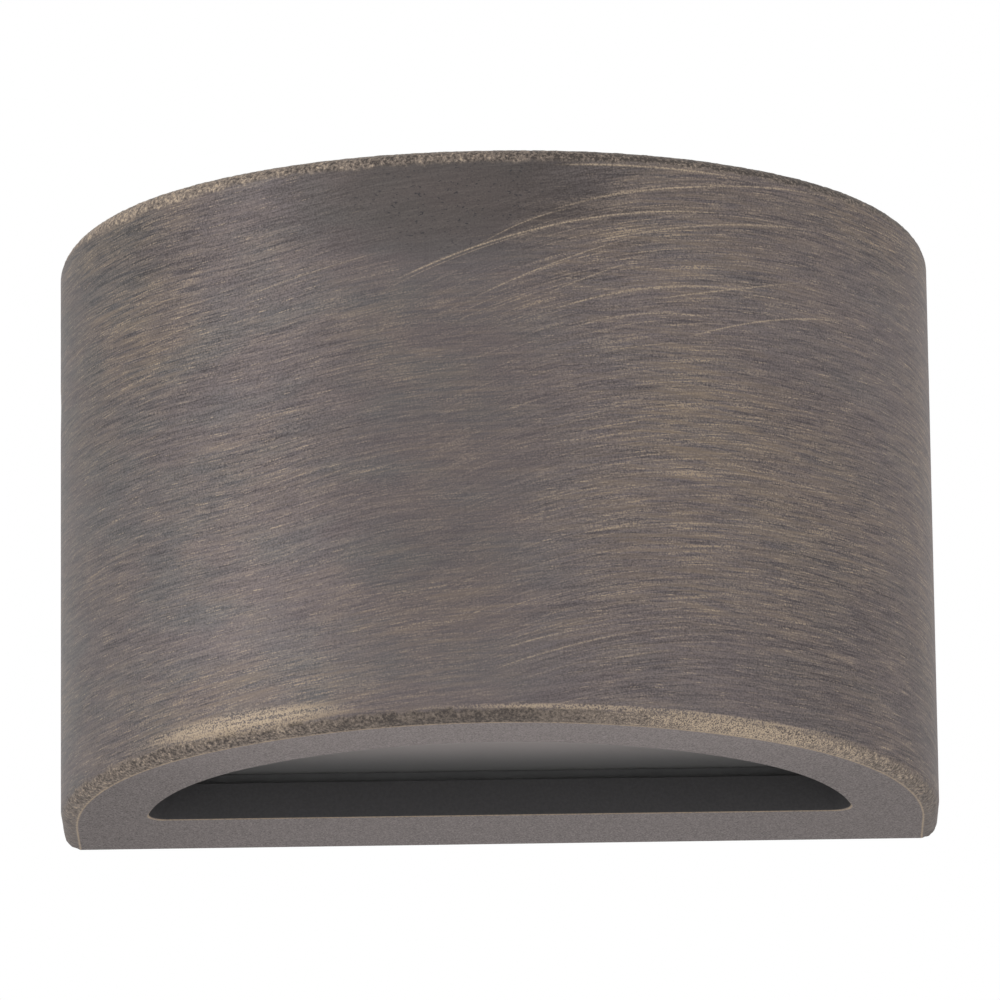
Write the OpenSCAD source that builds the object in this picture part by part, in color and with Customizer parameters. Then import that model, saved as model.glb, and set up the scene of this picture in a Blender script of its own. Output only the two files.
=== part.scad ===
// Half-round step light: a brass hood over a lamp, hung on a plate that is screwed to the wall.
// The wall is the plane y = 0, the front is towards -y, and the origin is the middle of the wall face.
// All sizes are millimetres.

/* [Housing] */
// Width of the housing across the wall
body_w = 76; // [75:0.5:78]
// Depth of the housing from the wall to its front
body_d = 39; // [38.5:0.5:40]
// Height of the housing
body_h = 51; // [50:0.5:60]
// Distance of the centres of the two side arcs from the middle
side_in = 7.8; // [7.2:0.3:8.4]
// Thickness of the side and front wall
wall_t = 3.2; // [2.8:0.1:3.4]
// Thickness of the top
top_t = 3.2; // [2.4:0.1:4]
// Rounding of the outer top and bottom edges
edge_r = 1.4; // [0.8:0.1:1.6]
// Width of the lip round the light opening, from the outer face
lip_w = 7.3; // [6.8:0.1:8]
// Thickness of the lip
lip_t = 3.2; // [2.6:0.1:3.6]
// Depth of the bar between the light opening and the wall
bar_d = 9.1; // [8.8:0.1:10]
// Rounding of the two tips of the light opening
tip_r = 1.2; // [0.8:0.1:1.6]

/* [Lens and its retainer] */
// Thickness of the glass lens
lens_t = 3; // [2.4:0.1:3.2]
// Clearance between the lens and the housing wall
lens_gap = 0.4; // [0.2:0.1:0.6]
// Distance of the rear edge of the lens from the wall
lens_rear = 4.6; // [4.4:0.1:4.9]
// Thickness of the silicone gasket under the lens
gasket_t = 1; // [0.8:0.1:1.2]
// How far the gasket and the retainer stand back from the edge of the opening
window_back = 0.7; // [0.4:0.1:1]
// Thickness of the retainer sheet
retainer_t = 1; // [0.8:0.1:1.1]
// Width of each upright tab of the retainer
tab_w = 6; // [5.6:0.1:6.4]
// Height of each tab above the retainer sheet
tab_h = 6; // [5.8:0.1:6.6]
// Depth of the housing boss that each tab is screwed to
tab_boss_d = 8; // [7:0.5:9]

/* [Mounting plate] */
// Width of the mounting plate
plate_w = 52; // [50:0.5:53]
// Thickness of the mounting plate
plate_t = 2; // [1.6:0.1:2.1]
// Height of the plate's top edge above the middle of the light
plate_top = 19; // [18.6:0.1:19.4]
// Depth of the plate's bottom edge below the middle of the light
plate_low = 13.5; // [13:0.1:14]
// Thickness of the foam gasket between the plate and the wall
foam_t = 1.5; // [1.3:0.1:1.6]
// Distance between the two wall screw holes
wall_pitch = 40; // [39:0.5:41]
// Height of the wall screw holes above the middle of the light
wall_hole_z = 11; // [10.5:0.1:12]
// Diameter of the wall screw holes
wall_hole_d = 4.8; // [4.2:0.1:5.2]
// Gap between each bent ear of the plate and the housing wall
ear_gap = 3.8; // [3.5:0.1:4]
// Length of each ear from the front of the plate
ear_l = 8.5; // [7.5:0.1:9.5]
// Width of each ear
ear_w = 12; // [10:0.5:13]
// Gap between the plate's top edge and the ribs that hang the housing on it
rib_gap = 0.3; // [0.2:0.1:0.4]

/* [Set screws] */
// Diameter of the set screws in the sides of the housing
set_d = 4; // [3:0.5:4]
// Length of the set screws
set_l = 5; // [4.5:0.1:5.4]
// Height of the set screws above the middle of the light
set_z = 12; // [11.5:0.1:12.4]
// Distance of the set screws from the wall
set_y = 7; // [6.6:0.1:7.4]

/* [Cable entry] */
// Bore of the cable grommet
cable_d = 5; // [4:0.1:5.6]
// Diameter of the grommet's hole in the plate
grommet_d = 9; // [8.4:0.1:9.4]
// Distance of the cable entry to the right of the middle
grommet_x = 17; // [16:0.5:18]

/* [Lamp and its holder] */
// Share of the housing's depth at which the lamp's axis lies
lamp_share = 0.5; // [0.49:0.005:0.52]
// Depth of the lamp's axis below the middle of the light
lamp_drop = 4; // [3.8:0.1:4.2]
// Radius of the lamp's clear cover
lamp_r = 5.5; // [5.2:0.1:5.8]
// Length of the clear cover
lamp_l = 23; // [21:0.5:24]
// Distance between the two lamp pins
pin_pitch = 4; // [3.8:0.1:4.1]
// Diameter of the lamp pins
pin_d = 0.7; // [0.6:0.05:0.8]
// Length of pin inside the holder
pin_in = 7.5; // [7:0.1:7.8]
// Depth of the lamp holder along the lamp's axis
holder_d = 10; // [9.8:0.1:10.2]
// Height of the lamp holder across its two screws
holder_h = 17; // [16.8:0.1:17.4]
// Width of the lamp holder
holder_w = 8.6; // [8:0.1:9]
// Thickness of the bracket that carries the holder
bracket_t = 1.2; // [1:0.1:1.4]
// Room between the holder's front and the outside of the housing's left side
holder_room = 25; // [24.8:0.1:25.2]

/* [Wiring] */
// Length of the terminal block along its wires
block_l = 14; // [13:0.5:14.5]
// Distance between the two poles of the terminal block
pole_pitch = 11; // [10.8:0.1:11.2]
// Height of the terminal block from the plate to the top of its screw towers
block_h = 9; // [8.4:0.1:9.4]
// Diameter of the insulated leads
lead_d = 1.6; // [1.3:0.1:1.7]

/* [Reflector] */
// Thickness of the reflector sheet
reflector_t = 0.8; // [0.6:0.1:1]
// Width of the reflector
reflector_w = 26; // [25:0.5:27]
// Height of the reflector's roof above the lamp's axis
roof_rise = 10; // [9.8:0.1:10.6]

/* [Hidden] */
$fn = 96;

// Cutters run this far past the face that they open
eps = 1;
// Radial clearance of a screw or pin in its hole
fit = 0.05;
// Gap between a set screw's point and the ear that it bears on
seat = 0.1;
// Longer than any part of the plan
reach = 100;

// Plan: straight sides, two side arcs and a front arc, each tangent to the next.
// The radius where a side arc meets the front arc runs 3 across for every 4 forwards.
join_dir = [0.6, -0.8];
half_w = body_w / 2;
side_r = half_w - side_in;
front_r = side_r + side_in / join_dir.x;
side_flat = body_d - half_w + side_in * (1 - (1 + join_dir.y) / join_dir.x);
side_c = [side_in, -side_flat];
front_c = [0, front_r - body_d];
// Strips that lap the seams between the arcs, so wide at their ends and so far short of the outline
lap_w = 1;
lap_short = 0.1;

// Levels
z_low = -body_h / 2;
z_high = body_h / 2;
lip_top = z_low + lip_t;
lens_z = lip_top + gasket_t;
retainer_z = lens_z + lens_t;
retainer_top = retainer_z + retainer_t;
cavity_top = z_high - top_t;
lamp_z = -lamp_drop;
lamp_y = body_d * lamp_share;
inner_hw = half_w - wall_t;

// Tabs of the lens retainer, the bosses behind them and the lug over the retainer's front
tab_side_gap = 1;
tab_x = inner_hw - tab_w / 2 - tab_side_gap;
tab_screw_rise = 3.3;
tab_z = retainer_top + tab_screw_rise;
tab_front = -lens_rear - retainer_t;
tab_relief = 0.5;
tab_screw_d = 2.5;
tab_screw_l = 6;
boss_lift = 0.2;
boss_rise = 1.6;
lug_w = 8;
lug_d = 3;
lug_h = 4;

// Mounting plate
plate_back = -foam_t;
plate_front = plate_back - plate_t;
plate_corner_r = 3;
ear_x = inner_hw - ear_gap;
ear_bend_r = 1;
set_boss_wall = 2.5;
set_boss_r = set_d / 2 + set_boss_wall;
set_boss_gap = 0.6;
rib_x = 15;
rib_w = 2;
rib_d = 6;
flange_lap = 1.5;
flange_r = grommet_d / 2 + flange_lap;
flange_t = 1.2;

// Lamp holder and its bracket
holder_x = half_w - holder_room;
holder_back_x = -holder_x - holder_d;
holder_ear_t = 4;
holder_nose_h = 9;
holder_screw_in = 1.8;
holder_screw_z = holder_h / 2 - holder_screw_in;
holder_screw_d = 2;
foot_l = 10;
foot_screw_in = 4.8;
foot_screw_x = holder_back_x + foot_screw_in;
foot_screw_z = 5.5;
foot_screw_d = 3;
contact_d = 2.5;
contact_l = 7;
contact_in = 1;
contact_x = -holder_x - contact_in - contact_l;
arm_past = 0.7;
lead_hole_y = 9.2;
lead_hole_d = 7;
lead_fit = 0.1;
lead_bore_r = lead_d / 2 + lead_fit;

// Terminal block
block_base_t = 2;
pole_r = 3.1;
pole_sunk = 0.6;
pole_y = plate_front - block_base_t - pole_r + pole_sunk;
pole_z = [lamp_z - pole_pitch / 2, lamp_z + pole_pitch / 2];
tower_r = 2.3;
tower_in = 3.2;
tower_x = block_l / 2 - tower_in;
tower_bore_gap = 0.3;
clamp_r = 2.2;
clamp_bore_r = 1.4;
clamp_short = 3;
clamp_l = block_l - clamp_short;
clamp_screw_d = 2.4;
clamp_screw_l = 3;
block_screw_d = 2;

// Reflector
reflector_hw = reflector_w / 2;
roof_z = lamp_z + roof_rise;
roof_ahead = 4.5;
roof_front = -lamp_y - roof_ahead;
apron = [-5, -3.5];
foot_w = 6;
foot_h = 5.5;
rivet_d = 2.4;
rivet_head_r = 2;
rivet_head_t = 0.9;
rivet_x = reflector_hw - foot_w / 2;
rivet_rise = 3.2;
rivet_z = roof_z + rivet_rise;

// Lamp
base_gap = 1.2;
base_l = 4.5;
base_r = 4.2;
base_start = -holder_x + base_gap;
board_start = base_start + base_l;
cover_grip = 1.5;
cover_start = board_start - cover_grip;
cover_t = 0.8;
dome_flat = 1;
dome_r = lamp_r - dome_flat;
board_w = 7;
board_t = 1.2;
board_short = 4;
board_l = lamp_l - board_short;
emitter = [2.8, 3.5, 0.8];
emitter_pitch = 5;
emitter_first = 2;

brass = [0.31, 0.27, 0.23];
bright_brass = [0.75, 0.6, 0.35];
steel = [0.7, 0.7, 0.72];
rubber = [0.13, 0.13, 0.13];
white = [0.93, 0.93, 0.91];

// A quarter of a disc in the first quadrant
module quarter(r) {
    intersection() {
        circle(r = r);
        square(r);
    }
}

// Half of a rounded rectangle: h high about the x axis, from x = 0 to x = r_out
module half_section(r_out, h, r) {
    translate([0, -h / 2]) square([r_out - r, h]);
    translate([r_out - r, -h / 2 + r]) square([r, h - 2 * r]);
    for (m = [0, 1]) mirror([0, m]) translate([r_out - r, h / 2 - r]) quarter(r);
}

// The part of the plan that the right side arc bounds
module side_zone() {
    translate(side_c) polygon([[0, 0], reach * join_dir, [reach, reach * join_dir.y], [reach, 0]]);
}

// The part of the plan that the front arc bounds
module front_zone() {
    far = side_c + reach * join_dir;
    polygon([side_c, far, [-far.x, far.y], [-side_c.x, side_c.y]]);
}

// Plan outline, `inset` inside the outer face, closed off at y = rear
module outline(inset, rear = 0) {
    lap_end = (side_r - inset - lap_short) * join_dir;
    lap_side = lap_w * [-join_dir.y, join_dir.x];
    translate([inset - half_w, -side_flat]) square([2 * (half_w - inset), side_flat + rear]);
    for (m = [0, 1]) mirror([m, 0]) {
        intersection() {
            translate(side_c) circle(r = side_r - inset);
            side_zone();
        }
        translate(side_c) polygon([[0, 0], lap_end - lap_side, lap_end + lap_side]);
    }
    intersection() {
        translate(front_c) circle(r = front_r - inset);
        front_zone();
    }
}

// The part of an outline that lies more than `rear` in front of the wall
module outline_from(inset, rear) {
    intersection() {
        outline(inset);
        translate([-reach, -rear - reach]) square([2 * reach, reach]);
    }
}

// The solid half-round body with rounded top and bottom edges
module body() {
    rotate([90, 0, 0]) linear_extrude(side_flat)
        for (m = [0, 1]) mirror([m, 0]) half_section(half_w, body_h, edge_r);
    for (m = [0, 1]) mirror([m, 0, 0]) intersection() {
        translate([side_c.x, side_c.y, 0]) rotate_extrude() half_section(side_r, body_h, edge_r);
        translate([0, 0, z_low - eps]) linear_extrude(body_h + 2 * eps) side_zone();
    }
    intersection() {
        translate([front_c.x, front_c.y, 0]) rotate_extrude() half_section(front_r, body_h, edge_r);
        translate([0, 0, z_low - eps]) linear_extrude(body_h + 2 * eps) front_zone();
    }
}

// The corner beyond the two points where a tip's rounding starts
module tip_wedge(to_arc) {
    span = 4 * tip_r;
    polygon([[0, 0], [0, span], [2 * span, span], [2 * span, span * to_arc.y], span * to_arc]);
}

// Light opening in the lip, with rounded tips
module opening_outline() {
    arc_r = side_r - lip_w;
    tip_y = -bar_d - tip_r;
    tip_x = side_c.x + sqrt(pow(arc_r - tip_r, 2) - pow(tip_y - side_c.y, 2));
    to_arc = ([tip_x, tip_y] - side_c) / (arc_r - tip_r);
    difference() {
        outline_from(lip_w, bar_d);
        for (m = [0, 1]) mirror([m, 0]) translate([tip_x, tip_y]) tip_wedge(to_arc);
    }
    for (m = [0, 1]) mirror([m, 0]) translate([tip_x, tip_y]) intersection() {
        circle(r = tip_r);
        tip_wedge(to_arc);
    }
}

// Profile of a bent sheet: one leg along +x, one along +y, outer faces on the axes
module bent_sheet(leg_x, leg_y, t, r) {
    outer = r + t;
    translate([outer, 0]) square([leg_x - outer, t]);
    translate([0, outer]) square([t, leg_y - outer]);
    translate([outer, outer]) rotate([0, 0, 180]) difference() {
        quarter(outer);
        circle(r = r);
    }
}

// A bent sheet whose legs run towards -y and towards +z, w wide from x = 0
module upright(leg_out, leg_up, t, r, w) {
    rotate([90, 0, 90]) mirror([1, 0, 0]) linear_extrude(w) bent_sheet(leg_out, leg_up, t, r);
}

// A cylinder from y = 0 towards -y
module rod_y(d, l) {
    rotate([90, 0, 0]) cylinder(d = d, h = l);
}

// A cylinder on the lamp's axis, moved sideways by y and z, from x = from
module rod_x(d, l, from, y = 0, z = 0) {
    translate([from, y - lamp_y, z + lamp_z]) rotate([0, 90, 0]) cylinder(d = d, h = l);
}

// Pan-head screw along -z with a cross recess, the underside of its head at z = 0
module pan_screw(d, l) {
    head_r = d * 0.9;
    head_t = d * 0.65;
    crown = head_t * 0.4;
    slot = d * 0.2;
    translate([0, 0, -l]) cylinder(d = d, h = l);
    difference() {
        rotate_extrude() {
            square([head_r, head_t - crown]);
            square([head_r - crown, head_t]);
            translate([head_r - crown, head_t - crown]) quarter(crown);
        }
        translate([-head_r / 2, -slot / 2, head_t / 2]) cube([head_r, slot, head_t]);
        translate([-slot / 2, -head_r / 2, head_t / 2]) cube([slot, head_r, head_t]);
    }
}

// Pan-head screw through the front of the plate, with a sheet of thickness t under its head
module plate_screw(x, z, d, t) {
    translate([x, plate_front - t, z]) rotate([90, 0, 0]) pan_screw(d, t + plate_t);
}

// Everything cast on the inside of the housing
module inner_castings() {
    low = retainer_top + boss_lift;
    for (m = [0, 1]) mirror([m, 0, 0]) {
        translate([tab_x - tab_w / 2, tab_front - tab_boss_d, low])
            cube([half_w, tab_boss_d, tab_z + tab_screw_d + boss_rise - low]);
        translate([ear_x + set_boss_gap, -set_y, set_z]) rotate([0, 90, 0])
            cylinder(r = set_boss_r, h = ear_gap);
        translate([rib_x - rib_w / 2, -rib_d, plate_top + rib_gap])
            cube([rib_w, rib_d, cavity_top + top_t / 2 - plate_top - rib_gap]);
    }
    translate([-lug_w / 2, -body_d, low]) cube([lug_w, wall_t + lug_d, lug_h]);
}

module housing() {
    color(brass) difference() {
        union() {
            difference() {
                body();
                translate([0, 0, lip_top]) linear_extrude(cavity_top - lip_top) outline(wall_t, eps);
                translate([0, 0, z_low - eps]) linear_extrude(lip_t + 2 * eps) opening_outline();
            }
            intersection() {
                inner_castings();
                translate([0, 0, z_low]) linear_extrude(body_h) outline(wall_t / 2);
            }
        }
        for (m = [0, 1]) mirror([m, 0, 0]) {
            translate([0, -set_y, set_z]) rotate([0, 90, 0])
                cylinder(d = set_d + 2 * fit, h = half_w + eps);
            translate([tab_x, tab_front + eps, tab_z]) rod_y(tab_screw_d + 2 * fit, tab_screw_l + eps);
        }
    }
}

module lens() {
    color([0.85, 0.87, 0.86, 0.5]) translate([0, 0, lens_z]) linear_extrude(lens_t)
        outline_from(wall_t + lens_gap, lens_rear);
}

module lens_gasket() {
    color(rubber) translate([0, 0, lip_top]) linear_extrude(gasket_t) difference() {
        outline_from(wall_t + lens_gap, lens_rear);
        outline_from(lip_w - window_back, bar_d - window_back);
    }
}

module lens_retainer() {
    tab_edge = tab_x - tab_w / 2;
    relief_d = 2 * retainer_t;
    root_l = 0.6;
    color(steel) difference() {
        union() {
            translate([0, 0, retainer_z]) linear_extrude(retainer_t) difference() {
                outline_from(wall_t + lens_gap, lens_rear);
                outline_from(lip_w - window_back, bar_d - window_back);
                for (m = [0, 1]) mirror([m, 0])
                    translate([tab_edge - tab_relief, -lens_rear - relief_d]) square([reach, reach]);
            }
            for (m = [0, 1]) mirror([m, 0, 0]) translate([tab_edge, -lens_rear, retainer_z])
                upright(relief_d + root_l, retainer_t + tab_h, retainer_t, retainer_t / 2, tab_w);
        }
        for (m = [0, 1]) mirror([m, 0, 0]) translate([tab_x, 0, tab_z])
            rod_y(tab_screw_d + 2 * fit, lens_rear + relief_d);
    }
}

module retainer_screws() {
    color(steel) for (m = [0, 1]) mirror([m, 0, 0])
        translate([tab_x, -lens_rear, tab_z]) rotate([-90, 0, 0]) pan_screw(tab_screw_d, tab_screw_l);
}

// Set screw on the right, with a flat point and a hexagon socket
module set_screw() {
    point = 0.6;
    socket_d = set_d / 2 / cos(30);
    translate([ear_x + seat, -set_y, set_z]) rotate([0, 90, 0]) difference() {
        union() {
            cylinder(r1 = set_d / 2 - point, r2 = set_d / 2, h = point);
            translate([0, 0, point]) cylinder(d = set_d, h = set_l - point);
        }
        translate([0, 0, set_l - set_d / 2]) cylinder(d = socket_d, h = set_l, $fn = 6);
    }
}

module left_set_screw() {
    color(steel) mirror([1, 0, 0]) set_screw();
}

module right_set_screw() {
    color(steel) set_screw();
}

// Outline of the plate in x and z
module plate_outline() {
    translate([0, (plate_top - plate_low) / 2]) for (m = [0, 1]) mirror([m, 0])
        half_section(plate_w / 2, plate_top + plate_low, plate_corner_r);
}

module wall_holes() {
    for (m = [0, 1]) mirror([m, 0]) translate([wall_pitch / 2, wall_hole_z]) circle(d = wall_hole_d);
}

// Holes that are drilled straight through the plate
module plate_holes() {
    wall_holes();
    translate([grommet_x, lamp_z]) circle(d = grommet_d);
    for (z = [-foot_screw_z, foot_screw_z])
        translate([foot_screw_x, lamp_z + z]) circle(d = foot_screw_d + 2 * fit);
    for (m = [0, 1]) mirror([m, 0]) translate([rivet_x, rivet_z]) circle(d = rivet_d + 2 * fit);
    translate([0, lamp_z]) circle(d = block_screw_d + 2 * fit);
}

module mounting_plate() {
    wing = ear_x - plate_w / 2 + plate_corner_r;
    color(steel) difference() {
        union() {
            translate([0, plate_back, 0]) rotate([90, 0, 0]) linear_extrude(plate_t) plate_outline();
            for (m = [0, 1]) mirror([m, 0, 0]) translate([ear_x, plate_back, set_z - ear_w / 2])
                rotate([0, 0, 180]) linear_extrude(ear_w)
                    bent_sheet(wing, plate_t + ear_l, plate_t, ear_bend_r);
        }
        rotate([90, 0, 0]) linear_extrude(foam_t + plate_t + eps) plate_holes();
    }
}

module wall_gasket() {
    flange_gap = 0.5;
    color(rubber) rotate([90, 0, 0]) linear_extrude(foam_t) difference() {
        plate_outline();
        wall_holes();
        translate([grommet_x, lamp_z]) circle(r = flange_r + flange_gap);
    }
}

module cable_grommet() {
    bore_r = cable_d / 2;
    front = foam_t + plate_t;
    color(rubber) translate([grommet_x, 0, lamp_z]) rotate([90, 0, 0]) rotate_extrude() {
        translate([bore_r, foam_t - flange_t]) square([flange_r - bore_r, flange_t]);
        translate([bore_r, foam_t]) square([grommet_d / 2 - fit - bore_r, plate_t]);
        translate([bore_r, front]) square([flange_r - flange_t - bore_r, flange_t]);
        translate([flange_r - flange_t, front]) quarter(flange_t);
    }
}

module socket_bracket() {
    arm_l = lamp_y + holder_w / 2 + arm_past + plate_front;
    color(steel) difference() {
        translate([holder_back_x - bracket_t, plate_front, lamp_z - holder_h / 2]) mirror([0, 1, 0])
            linear_extrude(holder_h) bent_sheet(foot_l, arm_l, bracket_t, bracket_t / 2);
        for (z = [-foot_screw_z, foot_screw_z]) translate([foot_screw_x, 0, lamp_z + z])
            rod_y(foot_screw_d + 2 * fit, lead_hole_y);
        for (z = [-holder_screw_z, holder_screw_z])
            rod_x(holder_screw_d + 2 * fit, 4 * bracket_t, holder_back_x - 2 * bracket_t, 0, z);
        rod_x(lead_hole_d, 4 * bracket_t, holder_back_x - 2 * bracket_t);
        rod_x(lead_hole_d, 2 * bracket_t, holder_back_x - 1.5 * bracket_t, lamp_y - lead_hole_y);
    }
}

module bracket_screws() {
    color(steel) for (z = [-foot_screw_z, foot_screw_z])
        plate_screw(foot_screw_x, lamp_z + z, foot_screw_d, bracket_t);
}

module lamp_socket() {
    color(white) difference() {
        union() {
            translate([holder_back_x, -lamp_y - holder_w / 2, lamp_z - holder_h / 2])
                cube([holder_ear_t, holder_w, holder_h]);
            translate([holder_back_x, -lamp_y - holder_w / 2, lamp_z - holder_nose_h / 2])
                cube([holder_d, holder_w, holder_nose_h]);
        }
        for (y = [-pin_pitch / 2, pin_pitch / 2]) {
            rod_x(2 * lead_bore_r, holder_d + 2 * eps, holder_back_x - eps, y);
            rod_x(contact_d + 2 * fit, contact_l + 2 * fit, contact_x - fit, y);
        }
        for (z = [-holder_screw_z, holder_screw_z])
            rod_x(holder_screw_d + 2 * fit, holder_ear_t + 2 * eps, holder_back_x - eps, 0, z);
    }
}

module socket_contacts() {
    pin_fit = 0.07;
    color(bright_brass) for (y = [-pin_pitch / 2, pin_pitch / 2]) difference() {
        rod_x(contact_d, contact_l, contact_x, y);
        rod_x(pin_d + 2 * pin_fit, contact_l + 2 * eps, contact_x - eps, y);
    }
}

module socket_screws() {
    color(steel) for (z = [-holder_screw_z, holder_screw_z])
        translate([holder_back_x + holder_ear_t, -lamp_y, lamp_z + z]) rotate([0, 90, 0])
            pan_screw(holder_screw_d, holder_ear_t + bracket_t);
}

module terminal_block() {
    color(white) difference() {
        union() {
            translate([-block_l / 2, plate_front - block_base_t, pole_z[0] - pole_r])
                cube([block_l, block_base_t, pole_pitch + 2 * pole_r]);
            for (z = pole_z) translate([0, pole_y, z]) {
                rotate([0, 90, 0]) cylinder(r = pole_r, h = block_l, center = true);
                for (x = [-tower_x, tower_x]) translate([x, 0, 0])
                    rod_y(2 * tower_r, block_h + pole_y - plate_front);
            }
        }
        for (z = pole_z) translate([0, pole_y, z]) {
            rotate([0, 90, 0]) cylinder(r = clamp_r + fit, h = block_l + eps, center = true);
            for (x = [-tower_x, tower_x]) translate([x, 0, 0])
                rod_y(clamp_screw_d + 2 * tower_bore_gap, block_h);
        }
        translate([0, 0, lamp_z]) rod_y(block_screw_d + 2 * fit, block_h);
    }
}

module terminal_clamps() {
    color(bright_brass) for (z = pole_z) translate([0, pole_y, z]) difference() {
        rotate([0, 90, 0]) cylinder(r = clamp_r, h = clamp_l, center = true);
        rotate([0, 90, 0]) cylinder(r = clamp_bore_r, h = block_l, center = true);
        for (x = [-tower_x, tower_x]) translate([x, 0, 0]) rod_y(clamp_screw_d + 2 * fit, block_h);
    }
}

// Slotted screws that reach down to the lead in each clamp
module terminal_screws() {
    slot_w = 0.5;
    slot_d = 0.8;
    tip = pole_y - lead_d / 2 - seat;
    cut = 2 * slot_d;
    color(steel) for (x = [-tower_x, tower_x], z = pole_z) translate([x, tip, z]) difference() {
        rod_y(clamp_screw_d, clamp_screw_l);
        translate([-clamp_screw_d, slot_d - clamp_screw_l - cut, -slot_w / 2])
            cube([2 * clamp_screw_d, cut, slot_w]);
    }
}

module block_screw() {
    color(steel) plate_screw(0, lamp_z, block_screw_d, block_base_t);
}

module reflector() {
    rear = plate_front - foot_h;
    normal = reflector_t * [apron.y, -apron.x] / norm(apron);
    lip = [roof_front, roof_z];
    color([0.88, 0.88, 0.88]) difference() {
        union() {
            translate([-reflector_hw, 0, 0]) rotate([90, 0, 90]) linear_extrude(reflector_w)
                polygon([[rear, roof_z], lip, lip + apron, lip + apron + normal, lip + normal,
                    lip + [0, reflector_t], [rear, roof_z + reflector_t]]);
            for (m = [0, 1]) mirror([m, 0, 0]) translate([reflector_hw - foot_w, plate_front, roof_z])
                upright(foot_h + eps, foot_h, reflector_t, reflector_t / 2, foot_w);
        }
        for (m = [0, 1]) mirror([m, 0, 0]) translate([rivet_x, 0, rivet_z])
            rod_y(rivet_d + 2 * fit, foot_h);
    }
}

module reflector_rivets() {
    shank = reflector_t + plate_t;
    color([0.8, 0.8, 0.8]) for (m = [0, 1]) mirror([m, 0, 0])
        translate([rivet_x, plate_front - reflector_t, rivet_z]) rotate([90, 0, 0]) rotate_extrude() {
            square([rivet_head_r - rivet_head_t, rivet_head_t]);
            translate([rivet_head_r - rivet_head_t, 0]) quarter(rivet_head_t);
            translate([0, -shank]) square([rivet_d / 2, shank]);
        }
}

module lamp_base() {
    color(white) difference() {
        rod_x(2 * base_r, base_l, base_start);
        for (y = [-pin_pitch / 2, pin_pitch / 2])
            rod_x(pin_d + 2 * fit, base_l + 2 * eps, base_start - eps, y);
    }
}

module lamp_pins() {
    color(steel) for (y = [-pin_pitch / 2, pin_pitch / 2])
        rod_x(pin_d, pin_in + base_gap + base_l, -holder_x - pin_in, y);
}

module lamp_board() {
    color(white) translate([board_start, -lamp_y - board_w / 2, lamp_z - board_t / 2])
        cube([board_l, board_w, board_t]);
}

module lamp_emitters() {
    color([1, 0.85, 0.3]) for (i = [0 : 2], m = [0, 1]) translate([board_start, -lamp_y, lamp_z])
        mirror([0, 0, m]) translate([emitter_first + i * emitter_pitch, -emitter.y / 2, board_t / 2])
            cube(emitter);
}

// Clear cover, closed by a rounded end and gripping the lamp base
module lamp_cover() {
    tube_l = lamp_l - dome_r;
    flat_r = lamp_r - dome_r;
    color([0.95, 0.97, 1, 0.35]) translate([cover_start, -lamp_y, lamp_z]) rotate([0, 90, 0])
        rotate_extrude() {
            translate([base_r + fit, 0]) square([lamp_r - base_r - fit, cover_grip]);
            translate([lamp_r - cover_t, cover_grip]) square([cover_t, tube_l - cover_grip]);
            translate([0, lamp_l - cover_t]) square([flat_r, cover_t]);
            translate([flat_r, tube_l]) difference() {
                quarter(dome_r);
                circle(r = dome_r - cover_t);
            }
        }
}

// Leads from the terminal block, through the bracket and round to the back of the lamp holder.
// Each loop behind the holder is as long as the room beside it allows.
lead_sides = 8;
lead_steps = 5;
lead_start_x = -2.5;
lead_out = 2;
lead_in = 1.4;
lead_split = 1.4;
loop_gap = 0.5;
lead_end_x = holder_back_x + lead_in;
lower_depth = lamp_y + pin_pitch / 2;
room_x = side_in + sqrt(pow(side_r - wall_t, 2) - pow(lower_depth - side_flat, 2));
lower_loop = room_x + lead_end_x - lead_d / 2 - loop_gap;
upper_loop = lower_loop * 0.72;
upper_end = [lead_end_x, pin_pitch / 2 - lamp_y, lamp_z];
lower_end = [lead_end_x, -lower_depth, lamp_z];
arm_pass = [holder_back_x - bracket_t / 2, -lead_hole_y, lamp_z];
upper_route = [[lead_start_x, pole_y, pole_z[1]], [-block_l / 2 - lead_out, pole_y, pole_z[1]],
    arm_pass + [0, 0, lead_split], arm_pass + upper_loop * [-0.54, -0.31, 0.19],
    arm_pass + upper_loop * [-0.69, -0.81, 0.08], upper_end + upper_loop * [-1, 0.25, 0],
    upper_end + upper_loop * [-0.69, 0, 0], upper_end];
lower_route = [[lead_start_x, pole_y, pole_z[0]], [-block_l / 2 - lead_out, pole_y, pole_z[0]],
    arm_pass + [0, 0, -lead_split], arm_pass + lower_loop * [-0.51, -0.24, -0.24],
    arm_pass + lower_loop * [-0.81, -0.78, -0.19], lower_end + lower_loop * [-1, 0.28, -0.07],
    lower_end + lower_loop * [-0.59, 0, 0], lower_end];

// A point on the smooth curve through four points, between the middle two
function between(a, b, c, d, t) = b + (c - a) * t / 2
    + (2 * a - 5 * b + 4 * c - d) * t * t / 2 + (3 * b - a - 3 * c + d) * t * t * t / 2;

function smooth(route) = let (n = len(route) - 1) concat(
    [for (i = [0 : n - 1], k = [0 : lead_steps - 1])
        between(route[max(i - 1, 0)], route[i], route[i + 1], route[min(i + 2, n)], k / lead_steps)],
    [route[n]]);

function unit(v) = v / norm(v);

// A ring of the lead's surface round one point, square to its direction
function ring(p, dir) = let (side = unit(cross(dir, [0, 0, 1])), up = cross(side, dir))
    [for (k = [0 : lead_sides - 1]) let (a = 360 * k / lead_sides)
        p + lead_d / 2 * (cos(a) * side + sin(a) * up)];

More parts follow.
